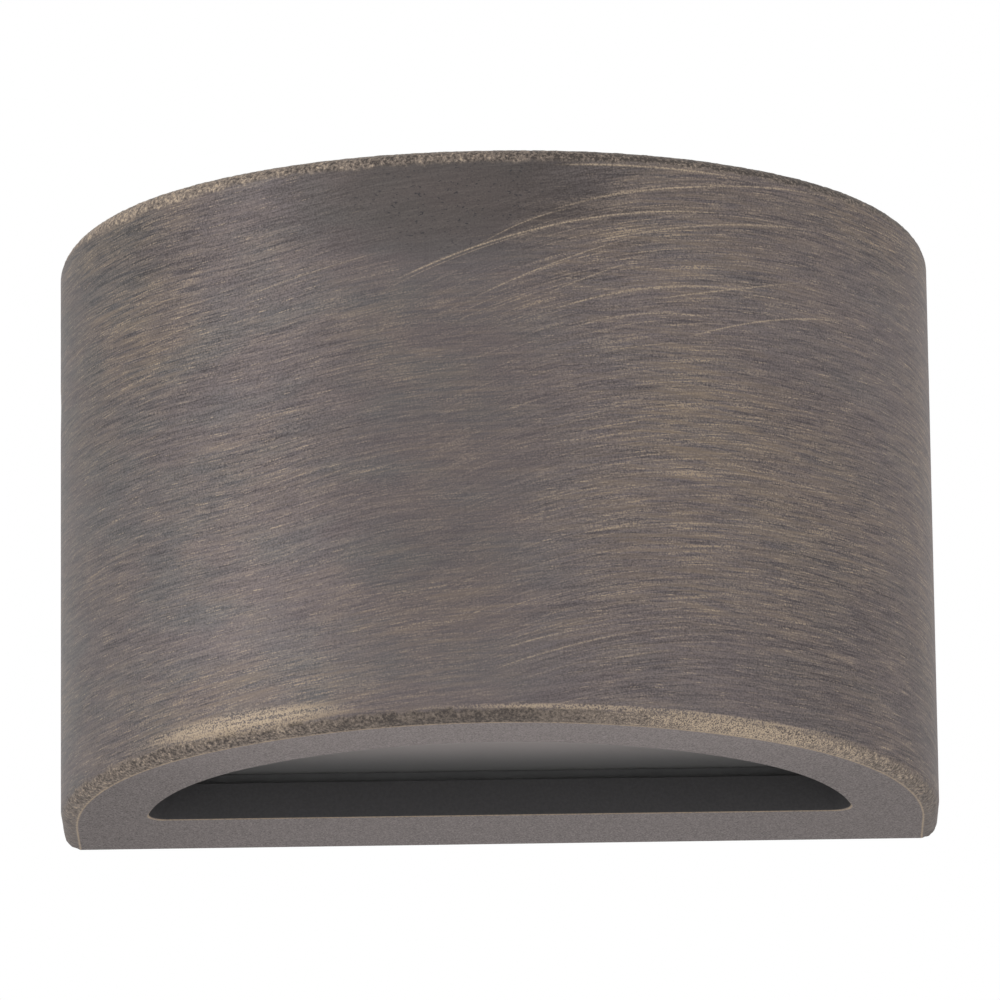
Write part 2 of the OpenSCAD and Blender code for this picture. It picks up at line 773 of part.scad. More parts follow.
module lead(route) {
    path = smooth(route);
    n = len(path);
    points = [for (i = [0 : n - 1])
        each ring(path[i], unit(path[min(i + 1, n - 1)] - path[max(i - 1, 0)]))];
    sides = [for (i = [0 : n - 2], k = [0 : lead_sides - 1])
        let (a = i * lead_sides + k, b = i * lead_sides + (k + 1) % lead_sides)
            each [[a, a + lead_sides, b + lead_sides], [a, b + lead_sides, b]]];
    first = [for (k = [0 : lead_sides - 1]) k];
    last = [for (k = [lead_sides - 1 : -1 : 0]) (n - 1) * lead_sides + k];
    polyhedron(points = points, faces = concat([first], sides, [last]));
}

module upper_lead() {
    color([0.6, 0.1, 0.08]) lead(upper_route);
}

module lower_lead() {
    color(rubber) lead(lower_route);
}

housing();
lens();
lens_gasket();
lens_retainer();
retainer_screws();
left_set_screw();
right_set_screw();
mounting_plate();
wall_gasket();
cable_grommet();
socket_bracket();
bracket_screws();
lamp_socket();
socket_contacts();
socket_screws();
upper_lead();
lower_lead();
terminal_block();
terminal_clamps();
terminal_screws();
block_screw();
reflector();
reflector_rivets();
lamp_base();
lamp_pins();
lamp_board();
lamp_emitters();
lamp_cover();
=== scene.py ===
"""Looks of the half-round step light: its cast brass hood, glass lens, wall plate, lamp holder and lamp."""
import math
from types import SimpleNamespace

import bmesh
import bpy
from mathutils import Matrix, Vector, noise


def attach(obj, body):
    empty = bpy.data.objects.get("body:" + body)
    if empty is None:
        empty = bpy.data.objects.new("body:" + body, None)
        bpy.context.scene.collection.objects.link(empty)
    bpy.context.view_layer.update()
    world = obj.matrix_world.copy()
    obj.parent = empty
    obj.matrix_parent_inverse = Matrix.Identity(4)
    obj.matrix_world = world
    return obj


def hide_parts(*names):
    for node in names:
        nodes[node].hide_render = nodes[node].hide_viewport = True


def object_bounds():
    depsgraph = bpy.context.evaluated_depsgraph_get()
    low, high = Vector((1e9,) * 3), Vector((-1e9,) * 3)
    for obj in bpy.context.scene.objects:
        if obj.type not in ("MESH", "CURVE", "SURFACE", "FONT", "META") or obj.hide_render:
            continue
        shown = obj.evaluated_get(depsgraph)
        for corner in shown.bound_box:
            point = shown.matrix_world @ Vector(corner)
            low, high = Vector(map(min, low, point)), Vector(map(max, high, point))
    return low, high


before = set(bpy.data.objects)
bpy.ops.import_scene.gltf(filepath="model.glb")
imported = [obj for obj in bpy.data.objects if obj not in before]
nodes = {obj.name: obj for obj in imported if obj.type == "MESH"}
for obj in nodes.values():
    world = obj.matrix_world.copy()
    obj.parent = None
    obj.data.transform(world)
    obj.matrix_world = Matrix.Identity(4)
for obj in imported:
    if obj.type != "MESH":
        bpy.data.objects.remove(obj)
cad_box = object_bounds()
MM = 0.001

# Camera: the point it looks at, its distance, its direction seen from there, its roll and its lens,
# in millimetres and radians
AIM = Vector((0.365, -11.4, 2.3))
DISTANCE = 976.6
AZIMUTH = 0.0064
RISE = -0.3047
ROLL = -0.0125
LENS = 404.99
SENSOR = 36

# Housing, in millimetres. Half its width, its depth and half its height come from the bounds of model.glb.
HALF_W = round(cad_box[1][0] / MM, 3)
BODY_D = round(-cad_box[0][1] / MM, 3)
HALF_H = round(cad_box[1][2] / MM, 3)
WALL_T = 3.2
EDGE_R = 1.4
LIP_W = 7.3
BAR_D = 9.1
TIP_R = 1.6
CAVITY_TOP = HALF_H - WALL_T
# Its plan: straight sides, then a side arc and a front arc that meet at the angle JOIN
SIDE_IN = 7.8
JOIN_COS = 0.6
JOIN_SIN = 0.8
JOIN = math.atan2(JOIN_SIN, JOIN_COS)
SIDE_R = HALF_W - SIDE_IN
FRONT_R = SIDE_R + SIDE_IN / JOIN_COS
FRONT_C = (0.0, FRONT_R - BODY_D)
SIDE_C = (SIDE_IN, FRONT_C[1] - SIDE_IN * JOIN_SIN / JOIN_COS)
# Pits of the rounded edges, and the worn place in the middle of the top edge
PIT_DEPTH = 0.13
WEAR_DEPTH = 0.24
WEAR_X = -1.0
WEAR_REACH = 18.0
# Castings inside it, each from lowest to highest corner. The boss and the rib are those at the right.
BOSS = ((27.8, -13.6, -17.1), (35.6, -5.6, -9.9))
RIB = ((14.0, -6.0, 19.3), (16.0, -0.02, 23.9))
LUG = ((-4.0, -37.4, -17.1), (4.0, -32.8, -13.1))
# The threaded side pads with the holes of the set screws, and the holes of the retainer screws in the
# bosses: those at the right
PAD_X = (31.6, 36.2)
PAD_R = 4.5
SET_HOLE_X = (25.0, HALF_W + 4.0)
SET_HOLE_Y = -7.0
SET_HOLE_Z = 12.0
SET_HOLE_R = 2.05
BOSS_HOLE_X = 30.8
BOSS_HOLE_Y = (-4.0, -11.6)
BOSS_HOLE_Z = -14.0
BOSS_HOLE_R = 1.3
# The lamp: its axis, half the width of its board, how far off the axis the conductors lie, and its
# emitters: the middle of one of them, their pitch, their length, and half the size of their window
LAMP_Y = -19.5
BOARD_HALF_W = 3.5
RAIL_OFF = 2.4
EMITTER_X = 1.1
EMITTER_PITCH = 5.0
EMITTER_L = 2.8
WINDOW_HALF = (1.0, 1.35)


def direction(azimuth, rise):
    """Unit vector that points from the light, azimuth round from straight ahead and raised by rise."""
    level = math.cos(rise)
    return Vector((math.sin(azimuth) * level, -math.cos(azimuth) * level, math.sin(rise)))


def make_camera():
    """The photograph's camera, from its fitted place below the light."""
    back = direction(AZIMUTH, RISE)
    right = Vector((0, 0, 1)).cross(back).normalized()
    up = back.cross(right)
    turn = Matrix((right, up, back)).transposed() @ Matrix.Rotation(ROLL, 3, "Z")
    data = bpy.data.cameras.new("camera")
    data.sensor_width = SENSOR
    data.lens = LENS
    data.clip_start = 0.05
    data.clip_end = 20
    camera = bpy.data.objects.new("camera", data)
    bpy.context.scene.collection.objects.link(camera)
    camera.matrix_world = Matrix.Translation((AIM + back * DISTANCE) * MM) @ turn.to_4x4()
    bpy.context.scene.camera = camera


make_camera()


class Shade:
    """A node material that is built up call by call. Lengths in it are millimetres."""

    def __init__(self, name):
        self.mat = bpy.data.materials.new(name)
        self.mat.use_nodes = True
        self.tree = self.mat.node_tree
        self.tree.nodes.clear()
        out = self.new("ShaderNodeOutputMaterial")
        self.bsdf = self.new("ShaderNodeBsdfPrincipled")
        self.tree.links.new(self.bsdf.outputs[0], out.inputs[0])
        place = self.new("ShaderNodeTexCoord")
        self.place = self.vmath("SCALE", place.outputs["Object"], scale=1 / MM)
        self.rounded = None

    def new(self, kind, **settings):
        made = self.tree.nodes.new(kind)
        for key, value in settings.items():
            setattr(made, key, value)
        return made

    def put(self, socket, value):
        if isinstance(value, bpy.types.NodeSocket):
            self.tree.links.new(value, socket)
        elif socket.type == "RGBA":
            socket.default_value = (*value, 1)
        else:
            socket.default_value = value

    def set(self, **values):
        """Sets inputs of the shader, named with _ for each space."""
        for key, value in values.items():
            self.put(self.bsdf.inputs[key.replace("_", " ")], value)

    def math(self, op, a, b=0.0):
        made = self.new("ShaderNodeMath", operation=op)
        self.put(made.inputs[0], a)
        self.put(made.inputs[1], b)
        return made.outputs[0]

    def chain(self, op, first, others):
        for other in others:
            first = self.math(op, first, other)
        return first

    def add(self, first, *others):
        return self.chain("ADD", first, others)

    def mul(self, first, *others):
        return self.chain("MULTIPLY", first, others)

    def most(self, first, *others):
        return self.chain("MAXIMUM", first, others)

    def least(self, first, *others):
        return self.chain("MINIMUM", first, others)

    def sub(self, a, b):
        return self.math("SUBTRACT", a, b)

    def div(self, a, b):
        return self.math("DIVIDE", a, b)

    def over(self, a, b):
        return self.math("GREATER_THAN", a, b)

    def under(self, a, b):
        return self.math("LESS_THAN", a, b)

    def absolute(self, a):
        return self.math("ABSOLUTE", a)

    def length(self, a, b):
        return self.math("SQRT", self.add(self.mul(a, a), self.mul(b, b)))

    def swing(self, value, size):
        """A value around 0.5 turned into one around 0 that is `size` times as large."""
        return self.mul(self.sub(value, 0.5), size)

    def vmath(self, op, a, b=(0, 0, 0), scale=1.0):
        made = self.new("ShaderNodeVectorMath", operation=op)
        self.put(made.inputs[0], a)
        if op == "SCALE":
            self.put(made.inputs["Scale"], scale)
        else:
            self.put(made.inputs[1], b)
        return made.outputs[0]

    def xyz(self, vector=None):
        made = self.new("ShaderNodeSeparateXYZ")
        self.put(made.inputs[0], vector or self.place)
        return made.outputs[0], made.outputs[1], made.outputs[2]

    def vector(self, x, y, z):
        made = self.new("ShaderNodeCombineXYZ")
        for socket, value in zip(made.inputs, (x, y, z)):
            self.put(socket, value)
        return made.outputs[0]

    def noise(self, size, detail=2.0, rough=0.5, at=None, offset=0.0, output=0):
        """Soft noise from 0 to 1 whose lumps are about `size` millimetres across."""
        made = self.new("ShaderNodeTexNoise")
        where = self.place if at is None else at
        if offset:
            where = self.vmath("ADD", where, (offset, offset * 1.7, offset * 0.6))
        self.put(made.inputs["Vector"], where)
        self.put(made.inputs["Scale"], 1 / size)
        self.put(made.inputs["Detail"], detail)
        self.put(made.inputs["Roughness"], rough)
        return made.outputs[output]

    def voronoi(self, size, at=None):
        """Outputs of a random honeycomb whose cells are about `size` millimetres across."""
        made = self.new("ShaderNodeTexVoronoi")
        self.put(made.inputs["Vector"], self.place if at is None else at)
        self.put(made.inputs["Scale"], 1 / size)
        return made.outputs

    def span(self, value, low, high, to_low=0.0, to_high=1.0, smooth=False):
        """A value from low to high turned into one from to_low to to_high, and held past both."""
        made = self.new("ShaderNodeMapRange")
        made.interpolation_type = "SMOOTHSTEP" if smooth else "LINEAR"
        for socket, number in zip(made.inputs[:5], (value, low, high, to_low, to_high)):
            self.put(socket, number)
        return made.outputs[0]

    def mix(self, share, a, b, blend="MIX"):
        made = self.new("ShaderNodeMix", data_type="RGBA", blend_type=blend)
        self.put(made.inputs[0], share)
        self.put(made.inputs[6], a)
        self.put(made.inputs[7], b)
        return made.outputs[2]

    def dim(self, base, share):
        """A colour times a share."""
        return self.mix(1.0, base, self.vector(share, share, share), blend="MULTIPLY")

    def break_edges(self, radius):
        """Rounds sharp edges in the shading, and returns a value that is 1 along them."""
        made = self.new("ShaderNodeBevel", samples=4)
        self.put(made.inputs["Radius"], radius * MM)
        self.rounded = made.outputs[0]
        flat = self.new("ShaderNodeNewGeometry").outputs["Normal"]
        made = self.new("ShaderNodeVectorMath", operation="DOT_PRODUCT")
        self.put(made.inputs[0], self.rounded)
        self.put(made.inputs[1], flat)
        return self.span(made.outputs["Value"], 0.8, 0.98, 1.0, 0.0)

    def bump(self, height, strength, distance):
        """Bump from a height between 0 and 1 that stands for `distance` millimetres."""
        made = self.new("ShaderNodeBump")
        self.put(made.inputs["Strength"], strength)
        self.put(made.inputs["Distance"], distance * MM)
        self.put(made.inputs["Height"], height)
        if self.rounded:
            self.put(made.inputs["Normal"], self.rounded)
        self.set(Normal=made.outputs[0])


def colour(r, g, b):
    """Colour from its 0 to 255 screen values, as linear light."""
    out = []
    for c in (r, g, b):
        c /= 255
        out.append(c / 12.92 if c <= 0.04045 else ((c + 0.055) / 1.055) ** 2.4)
    return tuple(out)


def scaled(base, share, most=1.0):
    """A colour times a share, with no channel above `most`."""
    return tuple(min(most, share * c) for c in base)


def arc(centre, radius, start, end, steps):
    """Evenly spread points on an arc. Its angles run from the right towards the front."""
    points = []
    for i in range(steps + 1):
        a = start + (end - start) * i / steps
        points.append((centre[0] + radius * math.cos(a), centre[1] - radius * math.sin(a)))
    return points


def mirrored(points):
    """The same points on the left side, in the opposite order."""
    return [(-x, y) for x, y in reversed(points)]


def plan(inset, step):
    """Outline of the housing, `inset` inside its outer face, from its right rear corner round the front
    to its left rear corner. Whatever the inset, it has as many points, and they lie on the same radii."""
    n_flat = max(1, round(-SIDE_C[1] / step))
    n_side = max(4, round(JOIN * SIDE_R / step))
    n_front = max(4, round((math.pi - 2 * JOIN) * FRONT_R / step))
    right = [(SIDE_C[0] + SIDE_R - inset, SIDE_C[1] * i / n_flat) for i in range(n_flat)]
    right += arc(SIDE_C, SIDE_R - inset, 0.0, JOIN, n_side)[:-1]
    return right + arc(FRONT_C, FRONT_R - inset, JOIN, math.pi - JOIN, n_front) + mirrored(right)


def opening_plan(grow, step):
    """Outline of the light opening, let out by `grow` millimetres, with its two rounded tips."""
    side_r = SIDE_R - LIP_W
    front_r = FRONT_R - LIP_W
    tip_y = -BAR_D - TIP_R
    tip_x = SIDE_C[0] + math.sqrt((side_r - TIP_R) ** 2 - (tip_y - SIDE_C[1]) ** 2)
    tip_end = math.atan2(SIDE_C[1] - tip_y, tip_x - SIDE_C[0])
    n_tip = 14
    n_side = max(4, round((JOIN - tip_end) * side_r / step))
    n_front = max(4, round((math.pi - 2 * JOIN) * front_r / step))
    right = arc((tip_x, tip_y), TIP_R + grow, -math.pi / 2, tip_end, n_tip)
    right += arc(SIDE_C, side_r + grow, tip_end, JOIN, n_side)[1:-1]
    return right + arc(FRONT_C, front_r + grow, JOIN, math.pi - JOIN, n_front) + mirrored(right)


def add_object(name, verts, faces):
    """A mesh object from points in millimetres."""
    mesh = bpy.data.meshes.new(name)
    mesh.from_pydata([(x * MM, y * MM, z * MM) for x, y, z in verts], [], faces)
    work = bmesh.new()
    work.from_mesh(mesh)
    bmesh.ops.recalc_face_normals(work, faces=work.faces)
    work.to_mesh(mesh)
    work.free()
    obj = bpy.data.objects.new(name, mesh)
    bpy.context.scene.collection.objects.link(obj)
    return obj


def loft(name, rings):
    """A closed solid through rings of points, each ring closed on itself, with flat ends."""
    n = len(rings[0])
    verts = [p for ring in rings for p in ring]
    faces = []
    for k in range(len(rings) - 1):
        for i in range(n):
            j = (i + 1) % n
            faces.append((k * n + i, k * n + j, (k + 1) * n + j, (k + 1) * n + i))
    faces.append(tuple(reversed(range(n))))
    faces.append(tuple(range((len(rings) - 1) * n, len(rings) * n)))
    return add_object(name, verts, faces)


def boxes(name, spans):
    """Separate boxes in one object, each from its lowest to its highest corner."""
    verts, faces = [], []
    for (x0, y0, z0), (x1, y1, z1) in spans:
        k = len(verts)
        verts += [(x0, y0, z0), (x1, y0, z0), (x1, y1, z0), (x0, y1, z0),
                  (x0, y0, z1), (x1, y0, z1), (x1, y1, z1), (x0, y1, z1)]
        faces += [(k + a, k + b, k + c, k + d) for a, b, c, d in (
            (3, 2, 1, 0), (4, 5, 6, 7), (0, 1, 5, 4), (1, 2, 6, 5), (2, 3, 7, 6), (3, 0, 4, 7))]
    return add_object(name, verts, faces)


def rods(name, bars, sides=48):
    """Separate round bars in one object, each from a point to a point with a radius."""
    verts, faces = [], []
    for start, end, radius in bars:
        a, b = Vector(start), Vector(end)
        line = (b - a).normalized()
        side = line.orthogonal().normalized()
        up = line.cross(side)
        k = len(verts)
        for p in (a, b):
            for i in range(sides):
                t = 2 * math.pi * i / sides
                verts.append(tuple(p + radius * (math.cos(t) * side + math.sin(t) * up)))
        for i in range(sides):
            j = (i + 1) % sides
            faces.append((k + i, k + j, k + sides + j, k + sides + i))
        faces.append(tuple(k + i for i in reversed(range(sides))))
        faces.append(tuple(k + sides + i for i in range(sides)))
    return add_object(name, verts, faces)


def combine(obj, others):
    """Applies unions and cuts to obj in turn, and removes the tools."""
    for other, kind in others:
        step = obj.modifiers.new("step", "BOOLEAN")
        step.operation = kind
        step.solver = "EXACT"
        step.object = other
    graph = bpy.context.evaluated_depsgraph_get()
    made = bpy.data.meshes.new_from_object(obj.evaluated_get(graph))
    obj.modifiers.clear()
    obj.data = made
    for other, _ in others:
        bpy.data.objects.remove(other)


def ramp(value, start, end):
    """How far a value has come from start to end, held between 0 and 1."""
    return min(1.0, max(0.0, (value - start) / (end - start)))


def grain(p, size, depth):
    """Rough casting grain between about -1 and 1 at a point in millimetres."""
    return noise.fractal(Vector(p) / size, 0.7, 2.1, depth)


def shell_rows(fillet):
    """Inset, height and angle of each row of points, from the underside over the wall to the top. The
    angle is 0 where the face looks down, a quarter turn on the wall and a half turn on the top."""
    on_underside = (3.2, 2.6, 2.1, 1.75, 1.5)
    on_top = (1.6, 1.9, 2.4, 3.2)
    rows = [(inset, -HALF_H, 0.0) for inset in on_underside]
    for i in range(fillet + 1):
        a = math.pi / 2 * i / fillet
        rows.append((EDGE_R * (1 - math.sin(a)), -HALF_H + EDGE_R * (1 - math.cos(a)), a))
    n_wall = 24
    reach = HALF_H - EDGE_R
    for i in range(1, n_wall):
        rows.append((0.0, -reach + 2 * reach * i / n_wall, math.pi / 2))
    for i in range(fillet + 1):
        a = math.pi / 2 * (1 + i / fillet)
        rows.append((EDGE_R * (1 - math.sin(a)), HALF_H - EDGE_R * (1 + math.cos(a)), a))
    return rows + [(inset, HALF_H, math.pi) for inset in on_top]


def pitting(a, z):
    """Share of the full depth that the pits have in the row of that angle and height. They fade out
    towards the flat faces, and on the wall next to nothing is left of them."""
    on_wall = math.pi / 2
    if z < 0:
        return ramp(a, 0.0, 0.2) * ramp(a, 1.62, 1.27)
    return 0.7 * ramp(a, on_wall - 0.1, on_wall + 0.4) * ramp(a, math.pi, math.pi - 0.25)


def make_shell():
    """The outer form of the hood, solid, with its rounded edges pitted and worn."""
    step = 0.13
    fillet = 22
    base = plan(0.0, step)
    outward = [(a[0] - b[0], a[1] - b[1]) for a, b in zip(base, plan(1.0, step))]
    rings = []
    for inset, z, a in shell_rows(fillet):
        pitted = pitting(a, z)
        worn = ramp(a, 2.0, 2.5) * ramp(inset, 3.2, 1.4)
        ring = []
        for (x, y), (ox, oy) in zip(base, outward):
            px, py, pz = x - ox * inset, y - oy * inset, z
            sink = worn * WEAR_DEPTH * math.exp(-((x - WEAR_X) / WEAR_REACH) ** 2)
            if pitted > 0:
                fine = 0.5 + 0.5 * grain((px, py, pz), 0.42, 2)
                coarse = 0.5 + 0.5 * grain((px + 9, py, pz), 1.3, 1)
                sink += PIT_DEPTH * pitted * min(1.0, max(0.0, 0.75 * fine + 0.35 * coarse))
            if sink > 0:
                px -= ox * math.sin(a) * sink
                py -= oy * math.sin(a) * sink
                pz += math.cos(a) * sink
            ring.append((px, py, pz))
        rings.append(ring)
    return loft("cast_hood", rings)


def make_housing():
    """The cast hood: its shell with the cavity, the D-shaped light opening and the castings inside."""
    housing = make_shell()
    behind = 1.0
    inner = plan(WALL_T, 0.8)
    inner = [(inner[0][0], behind)] + inner + [(inner[-1][0], behind)]
    cavity = loft("cavity", [[(x, y, z) for x, y in inner] for z in (-CAVITY_TOP, CAVITY_TOP)])
    # How far the opening is let out at each height above the underside
    flare = ((0.3, -0.2), (0.1, 0.0), (0.03, 0.06), (0.0, 0.16), (0.0, WALL_T + 0.5))
    mouth = loft("mouth", [[(x, y, rise - HALF_H) for x, y in opening_plan(grow, 0.35)]
                           for grow, rise in flare])
    sides = (-1, 1)
    castings = []
    for (x0, y0, z0), (x1, y1, z1) in (BOSS, RIB):
        castings += [((-x1, y0, z0), (-x0, y1, z1)), ((x0, y0, z0), (x1, y1, z1))]
    bosses = boxes("bosses", castings + [LUG])
    pads = rods("pads", [((side * PAD_X[0], SET_HOLE_Y, SET_HOLE_Z),
                          (side * PAD_X[1], SET_HOLE_Y, SET_HOLE_Z), PAD_R) for side in sides])
    set_holes = [((side * SET_HOLE_X[0], SET_HOLE_Y, SET_HOLE_Z),
                  (side * SET_HOLE_X[1], SET_HOLE_Y, SET_HOLE_Z), SET_HOLE_R) for side in sides]
    boss_holes = [((side * BOSS_HOLE_X, BOSS_HOLE_Y[0], BOSS_HOLE_Z),
                   (side * BOSS_HOLE_X, BOSS_HOLE_Y[1], BOSS_HOLE_Z), BOSS_HOLE_R) for side in sides]
    holes = rods("holes", set_holes + boss_holes)
    combine(housing, [(cavity, "DIFFERENCE"), (mouth, "DIFFERENCE"), (bosses, "UNION"),
                      (pads, "UNION"), (holes, "DIFFERENCE")])
    housing.data.polygons.foreach_set("use_smooth", [True] * len(housing.data.polygons))
    housing.data.set_sharp_from_angle(angle=math.radians(38))
    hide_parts("housing")
    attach(housing, "cover")
    return housing


housing = make_housing()

# Colours of the bronzed brass
PATINA = colour(113, 105, 106)
PATINA_COOL = colour(109, 106, 107)
PATINA_DARK = colour(88, 82, 78)
BRASS_WORN = colour(170, 152, 131)
BRASS_TINT = colour(134, 119, 104)
BRASS_BRIGHT = colour(198, 178, 153)
PIT_DARK = colour(58, 58, 62)
EDGE_DARK = colour(80, 74, 71)
EDGE_BRIGHT = colour(158, 144, 132)
FLAT_FACE = colour(120, 113, 112)
SOOT_DARK = colour(74, 73, 74)
SOOT = colour(80, 79, 80)
# Heights at which the pitted bands end on the wall. The lower one ends this far below the end of its
# rounding.
LOW_BAND_IN = 0.4
LOW_EDGE = EDGE_R - HALF_H - LOW_BAND_IN
HIGH_EDGE = HALF_H - EDGE_R
# What lies behind this is the rear edge of the hood
REAR_Y = -0.02
# The rubbed strokes have their full lean at LEAN_U along the front, and it falls off on both sides, faster
# at the left
LEAN_U = -10.0
BEND = 0.00125
BEND_LEFT = -0.00095
# Families of rubbed strokes: lean, length, width, seed and detail
STROKES = {
    "fine": (0.10, 3.0, 0.12, 1.0, 1.0),
    "medium": (0.11, 7.0, 0.34, 5.0, 2.0),
    "steep": (0.19, 4.5, 0.15, 7.0, 1.0),
    "level": (0.03, 5.0, 0.16, 13.0, 1.0),
    "broad": (0.10, 11.0, 1.1, 19.0, 2.0),
    "glint": (0.12, 2.6, 0.12, 51.0, 1.0),
}
# Families that follow the curved sweep across the right half, and its rise and its bend
SWEEP_RISE = 0.4
SWEEP_BEND = -0.0075
SWEPT_STROKES = {
    "curved": (0.0, 7.0, 0.15, 23.0, 1.0),
    "trail": (0.0, 10.0, 0.36, 29.0, 2.0),
}
# Patches of the wall, each with its middle, its reach and its strength. Here the strokes are swept.
SWEPT = (
    ((11.0, 14.0), (24.0, 16.0), 1.0),
    ((10.0, -4.0), (20.0, 26.0), 0.85),
    ((9.0, -18.0), (15.0, 12.0), 1.0),
)
# The dull patch under the top edge
DULL = ((-3.5, 22.0), (19.0, 8.5), 0.85)
# Where more brass shows through. The patch near x -21 at the bottom is partly a painted highlight.
WORN_AND_PAINTED_HIGHLIGHT = (
    ((20.0, -5.0), (18.0, 15.0), 0.6),
    ((18.0, 3.0), (9.0, 9.0), 0.4),
    ((-30.5, 13.0), (7.0, 7.0), 0.6),
    # Worn brass, and partly a painted highlight under the left_strip lamp's highlight
    ((-21.0, -23.0), (14.0, 6.0), 0.6),
    ((14.0, 18.0), (17.0, 8.0), 0.45),
    ((37.0, -1.0), (4.0, 16.0), 0.25),
    ((33.0, 23.0), (8.0, 3.0), 0.7),
    ((-31.0, 22.5), (9.0, 3.0), 0.45),
)
# Lighter patches, and darker ones with a strength below 0. The two lighter ones at the lower left, near x
# -20, are a painted highlight.
TONE_AND_PAINTED_HIGHLIGHT = (
    ((-34.0, 12.0), (13.0, 14.0), -0.065),
    # This patch and the one near x -21.5 are a painted highlight
    ((-20.0, -16.0), (13.0, 14.0), 0.1),
    ((-4.5, 2.0), (14.0, 22.0), -0.09),
    ((6.0, 17.0), (9.0, 6.5), -0.07),
    ((-28.0, 21.0), (9.0, 6.0), -0.06),
    ((-6.0, -14.0), (11.0, 9.0), -0.055),
    ((-21.5, -17.0), (8.0, 7.0), 0.05),
    ((28.0, -3.0), (9.0, 15.0), -0.08),
    ((33.0, -20.0), (16.0, 15.0), -0.12),
)
# Long scratches: curve, ends, width and strength
SCRATCHES = (
    ((16.62, 0.322, -0.00653), (-9.0, 22.0), 0.08, 0.7),
    ((16.93, 0.571, -0.0242), (-2.0, 9.0), 0.06, 0.5),
    ((16.35, 0.335, -0.0066), (-10.0, 6.0), 0.05, 0.35),
    ((17.66, 0.373, -0.0040), (4.0, 17.0), 0.07, 0.5),
    ((12.35, 0.474, -0.0052), (-3.0, 14.0), 0.07, 0.5),
    ((9.59, 0.534, -0.0060), (3.0, 15.0), 0.07, 0.4),
    ((23.2, 0.077, -0.0020), (5.0, 24.0), 0.09, 0.75),
    ((18.22, 0.314, -0.00408), (8.0, 32.0), 0.08, 0.6),
    ((13.87, 0.377, -0.00513), (7.0, 32.0), 0.07, 0.55),
    ((8.32, 0.489, -0.01084), (4.0, 25.0), 0.08, 0.6),
    ((8.98, 0.201, 0.00105), (13.0, 30.0), 0.07, 0.55),
    ((5.6, 0.62, -0.018), (5.0, 22.0), 0.07, 0.5),
    ((-0.47, 0.701, -0.00886), (16.0, 35.0), 0.07, 0.6),
    ((-6.4, 0.3, -0.006), (10.0, 34.0), 0.06, 0.4),
    ((-11.2, 0.32, -0.0065), (6.0, 32.0), 0.06, 0.4),
    ((-21.2, 0.36, -0.0050), (0.0, 13.0), 0.07, 0.5),
    ((-19.6, 0.31, -0.0050), (-1.0, 11.0), 0.07, 0.45),
    ((-23.0, 0.34, -0.0050), (8.0, 17.0), 0.07, 0.45),
    ((18.0, 0.19, 0.0), (-24.0, -8.0), 0.06, 0.4),
    ((9.3, 0.08, 0.0), (-36.0, -28.0), 0.07, 0.4),
)


def scratch(s, u, z, curve, ends, width, gain):
    """Brightness of one long scratch along z = a + b u + c u u, faded at both ends."""
    a, b, c = curve
    line = s.add(s.mul(s.add(s.mul(u, c), b), u), a)
    off = s.absolute(s.sub(z, line))
    body = s.add(s.span(off, 0.0, width, 0.6, 0.0), s.span(off, 0.0, 2.2 * width, 0.4, 0.0, smooth=True))
    fade = s.mul(s.span(u, ends[0], ends[0] + 4.0, smooth=True),
                 s.span(u, ends[1] - 6.0, ends[1], 1.0, 0.0, smooth=True))
    return s.mul(body, fade, gain)


def hump(s, u, centre, reach, gain=1.0):
    """A soft rise along the wall, `gain` in its middle and 0 at `reach` from it."""
    off = s.div(s.sub(u, centre), reach)
    return s.span(s.mul(off, off), 0.0, 1.0, gain, 0.0, smooth=True)


def blob(s, x, z, centre, reach, gain=1.0):
    """A soft patch of the wall, `gain` in its middle and 0 at `reach` from it."""
    dx = s.div(s.sub(x, centre[0]), reach[0])
    dz = s.div(s.sub(z, centre[1]), reach[1])
    return s.span(s.add(s.mul(dx, dx), s.mul(dz, dz)), 0.0, 1.0, gain, 0.0, smooth=True)


def blobs(s, x, z, patches):
    """A list of soft patches of the wall."""
    return [blob(s, x, z, *patch) for patch in patches]


def streaks(s, u, z, lean, length, width, seed, detail):
    """Noise drawn out along the direction of the rubbing, `lean` up for every 1 across."""
    along = s.add(u, s.mul(z, lean))
    across = s.sub(z, s.mul(u, lean))
    at = s.vector(s.div(along, length), s.div(across, width), seed)
    return s.noise(1.0, detail=detail, rough=0.6, at=at)


def insets(s, x, y):
    """How far a point lies inside the outline of the housing, and past the edge of the light opening."""
    side_x = s.sub(s.absolute(x), SIDE_C[0])
    side_y = s.sub(SIDE_C[1], y)
    to_side = s.length(side_x, s.most(side_y, 0.0))
    to_front = s.length(x, s.sub(y, FRONT_C[1]))
    beside = s.over(s.mul(side_x, JOIN_SIN), s.mul(side_y, JOIN_COS))
    inset = s.add(s.mul(s.sub(SIDE_R, to_side), beside),
                  s.mul(s.sub(FRONT_R, to_front), s.sub(1.0, beside)))
    past_lip = s.sub(LIP_W + TIP_R, inset)
    past_bar = s.add(y, BAR_D + TIP_R)
    corner = s.length(s.most(past_lip, 0.0), s.most(past_bar, 0.0))
    within = s.least(s.most(past_lip, past_bar), 0.0)
    return inset, s.add(corner, within, -TIP_R)


def hood_places(s):
    """Where a point of the hood is: x, y, z, its way u along the front, and how far in from the edges."""
    x, y, z = s.xyz()
    u = s.mul(s.math("ARCTAN2", x, s.sub(FRONT_C[1], y)), FRONT_R)
    inset, from_mouth = insets(s, x, y)
    return SimpleNamespace(x=x, y=y, z=z, u=u, inset=inset, from_mouth=from_mouth, height=s.absolute(z))


